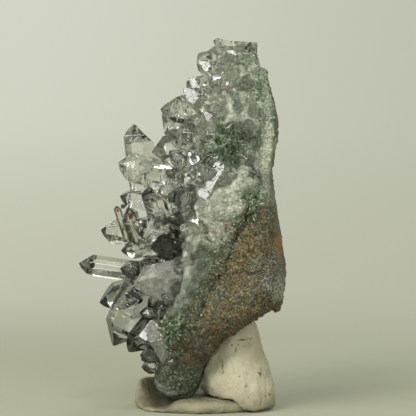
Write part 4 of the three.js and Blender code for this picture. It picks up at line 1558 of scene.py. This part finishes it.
def mounting_putty():
    material, tree, place = new_material("cream_putty")
    broad = noise(tree, place, 6.0, 3)
    ragged = calculate(tree, "SUBTRACT", broad, 0.5)
    height = axes_of(tree, place)["Z"]
    fold = add(tree, "ShaderNodeTexVoronoi", {
        "Vector": place, "Scale": scale_for(5.0),
    }, feature="DISTANCE_TO_EDGE").outputs["Distance"]
    # painted shade along soft creases
    painted_crease_shade = calculate(tree, "MULTIPLY", ramp(tree, fold, 0.02, 0.0, most=0.3), ramp(tree, broad, 0.5, 0.6))
    colour = layered(
        tree, blend(tree, ramp(tree, broad, 0.35, 0.68), "#9e997f", "#b2ad94"),
        (ramp(tree, noise(tree, place, 0.9, 2), 0.7, 0.74, most=0.7), "#5a4c34"),
        # painted shade: darker low down, where the pad is lit less
        (ramp(tree, height, 5.5 * MM, 1.5 * MM, most=0.7), "#757158"),
        (ramp(tree, noise(tree, place, 0.7, 4, 0.65), 0.54, 0.64, most=0.35), "#8b866b"),
        # painted shade: inside the curled lip, darkest by the foot, and over the pad round the foot
        (patch(tree, place, (-5.0, 0, 3.2), (4.4, 12, 3.8), 0.4, ragged, most=0.85), "#5c5841"),
        (patch(tree, place, (-2.4, -2, 1.6), (4.4, 10, 3.2), 0.6, ragged, most=0.85), "#38372a"),
        (patch(tree, place, (0, -9, 4), (10.5, 7, 4.6), 0.6, ragged, most=0.5), "#4f4e3a"),
        (painted_crease_shade, "#6e684f"),
        # painted shade on the wedge's brightly lit lower right
        (patch(tree, place, (10.5, -14, 6), (5.0, 12, 4.4), 0.9, most=0.5), "#8d886e"),
    )
    jagged = uneven(tree, place, 5.0, 0.9, 4, 0.6)
    colour = stained(tree, colour, place, PUTTY_MARKS, 0.5, jagged, 0.85)
    ridge = add(tree, "ShaderNodeTexWave", {
        "Vector": place, "Scale": scale_for(RIDGE) * WAVE_TURN, "Distortion": 9.0, "Detail": 3.0,
        "Detail Scale": 0.3,
    }, bands_direction="Z").outputs["Fac"]
    ridge = calculate(tree, "MULTIPLY", ridge, ramp(tree, noise(tree, place, 4.0, 3), 0.5, 0.66, most=0.06))
    dents = calculate(tree, "ADD", ridge, noise(tree, place, 1.2, 5, 0.65))
    finish_skin(tree, {
        "Base Color": colour, "Roughness": 0.62, "Normal": bumps(tree, dents, 0.9, 0.5),
        "Subsurface Weight": 0.12, "Subsurface Radius": (1.0, 0.8, 0.5), "Subsurface Scale": 1.5 * MM,
    })
    return material


def smoothed(form, times):
    """The form with its facets rubbed soft, as putty is."""
    rub = form.modifiers.new("rub", "SMOOTH")
    rub.factor = 0.5
    rub.iterations = times
    form.data = plain_mesh(form)
    return form


PRESSED = 0.7  # the most that a height is lowered, as a share of it
PRESS_LEFT, FADE_LEFT = -0.5, 3.5  # where the press starts and over how far it deepens, along X and Y
PRESS_NEAR, FADE_NEAR = 2.0, 6.0


def press_down_front(form):
    """Presses the pad down at the near left, so that its curled lip is seen from inside."""
    for vertex in form.data.vertices:
        at_left = min(max((PRESS_LEFT * MM - vertex.co.x) / (FADE_LEFT * MM), 0.0), 1.0)
        at_front = min(max((PRESS_NEAR * MM - vertex.co.y) / (FADE_NEAR * MM), 0.0), 1.0)
        vertex.co.z *= 1.0 - PRESSED * at_left * at_front


putty_paint = mounting_putty()
for node, name in (("putty_pad", "soft_putty_pad"), ("putty_wedge", "soft_putty_wedge")):
    form = smoothed(remeshed(solid_copy(node), PUTTY_VOXEL), PUTTY_RUBS)
    if node == "putty_pad":
        press_down_front(form)
    made = roughened(name, form, PUTTY_VOXEL, putty_paint, {
        "Lump Size": 2.6, "Lump Height": 1.1, "Grit Size": 0.9, "Grit Height": 0.42, "Swell": 0.0,
    })
    for vertex in made.data.vertices:
        vertex.co.z = max(vertex.co.z, 0.0)
    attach(made, "root")
    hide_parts(node)

for stub in (grain_stub, needle_stub):
    bpy.data.objects.remove(stub)

# %% Sizes and the end
dressed_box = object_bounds()
boxes = {"solids": cad_box, "dressed": dressed_box}
for name, box in boxes.items():
    print(name, [[round(value / MM, 2) for value in corner] for corner in box])
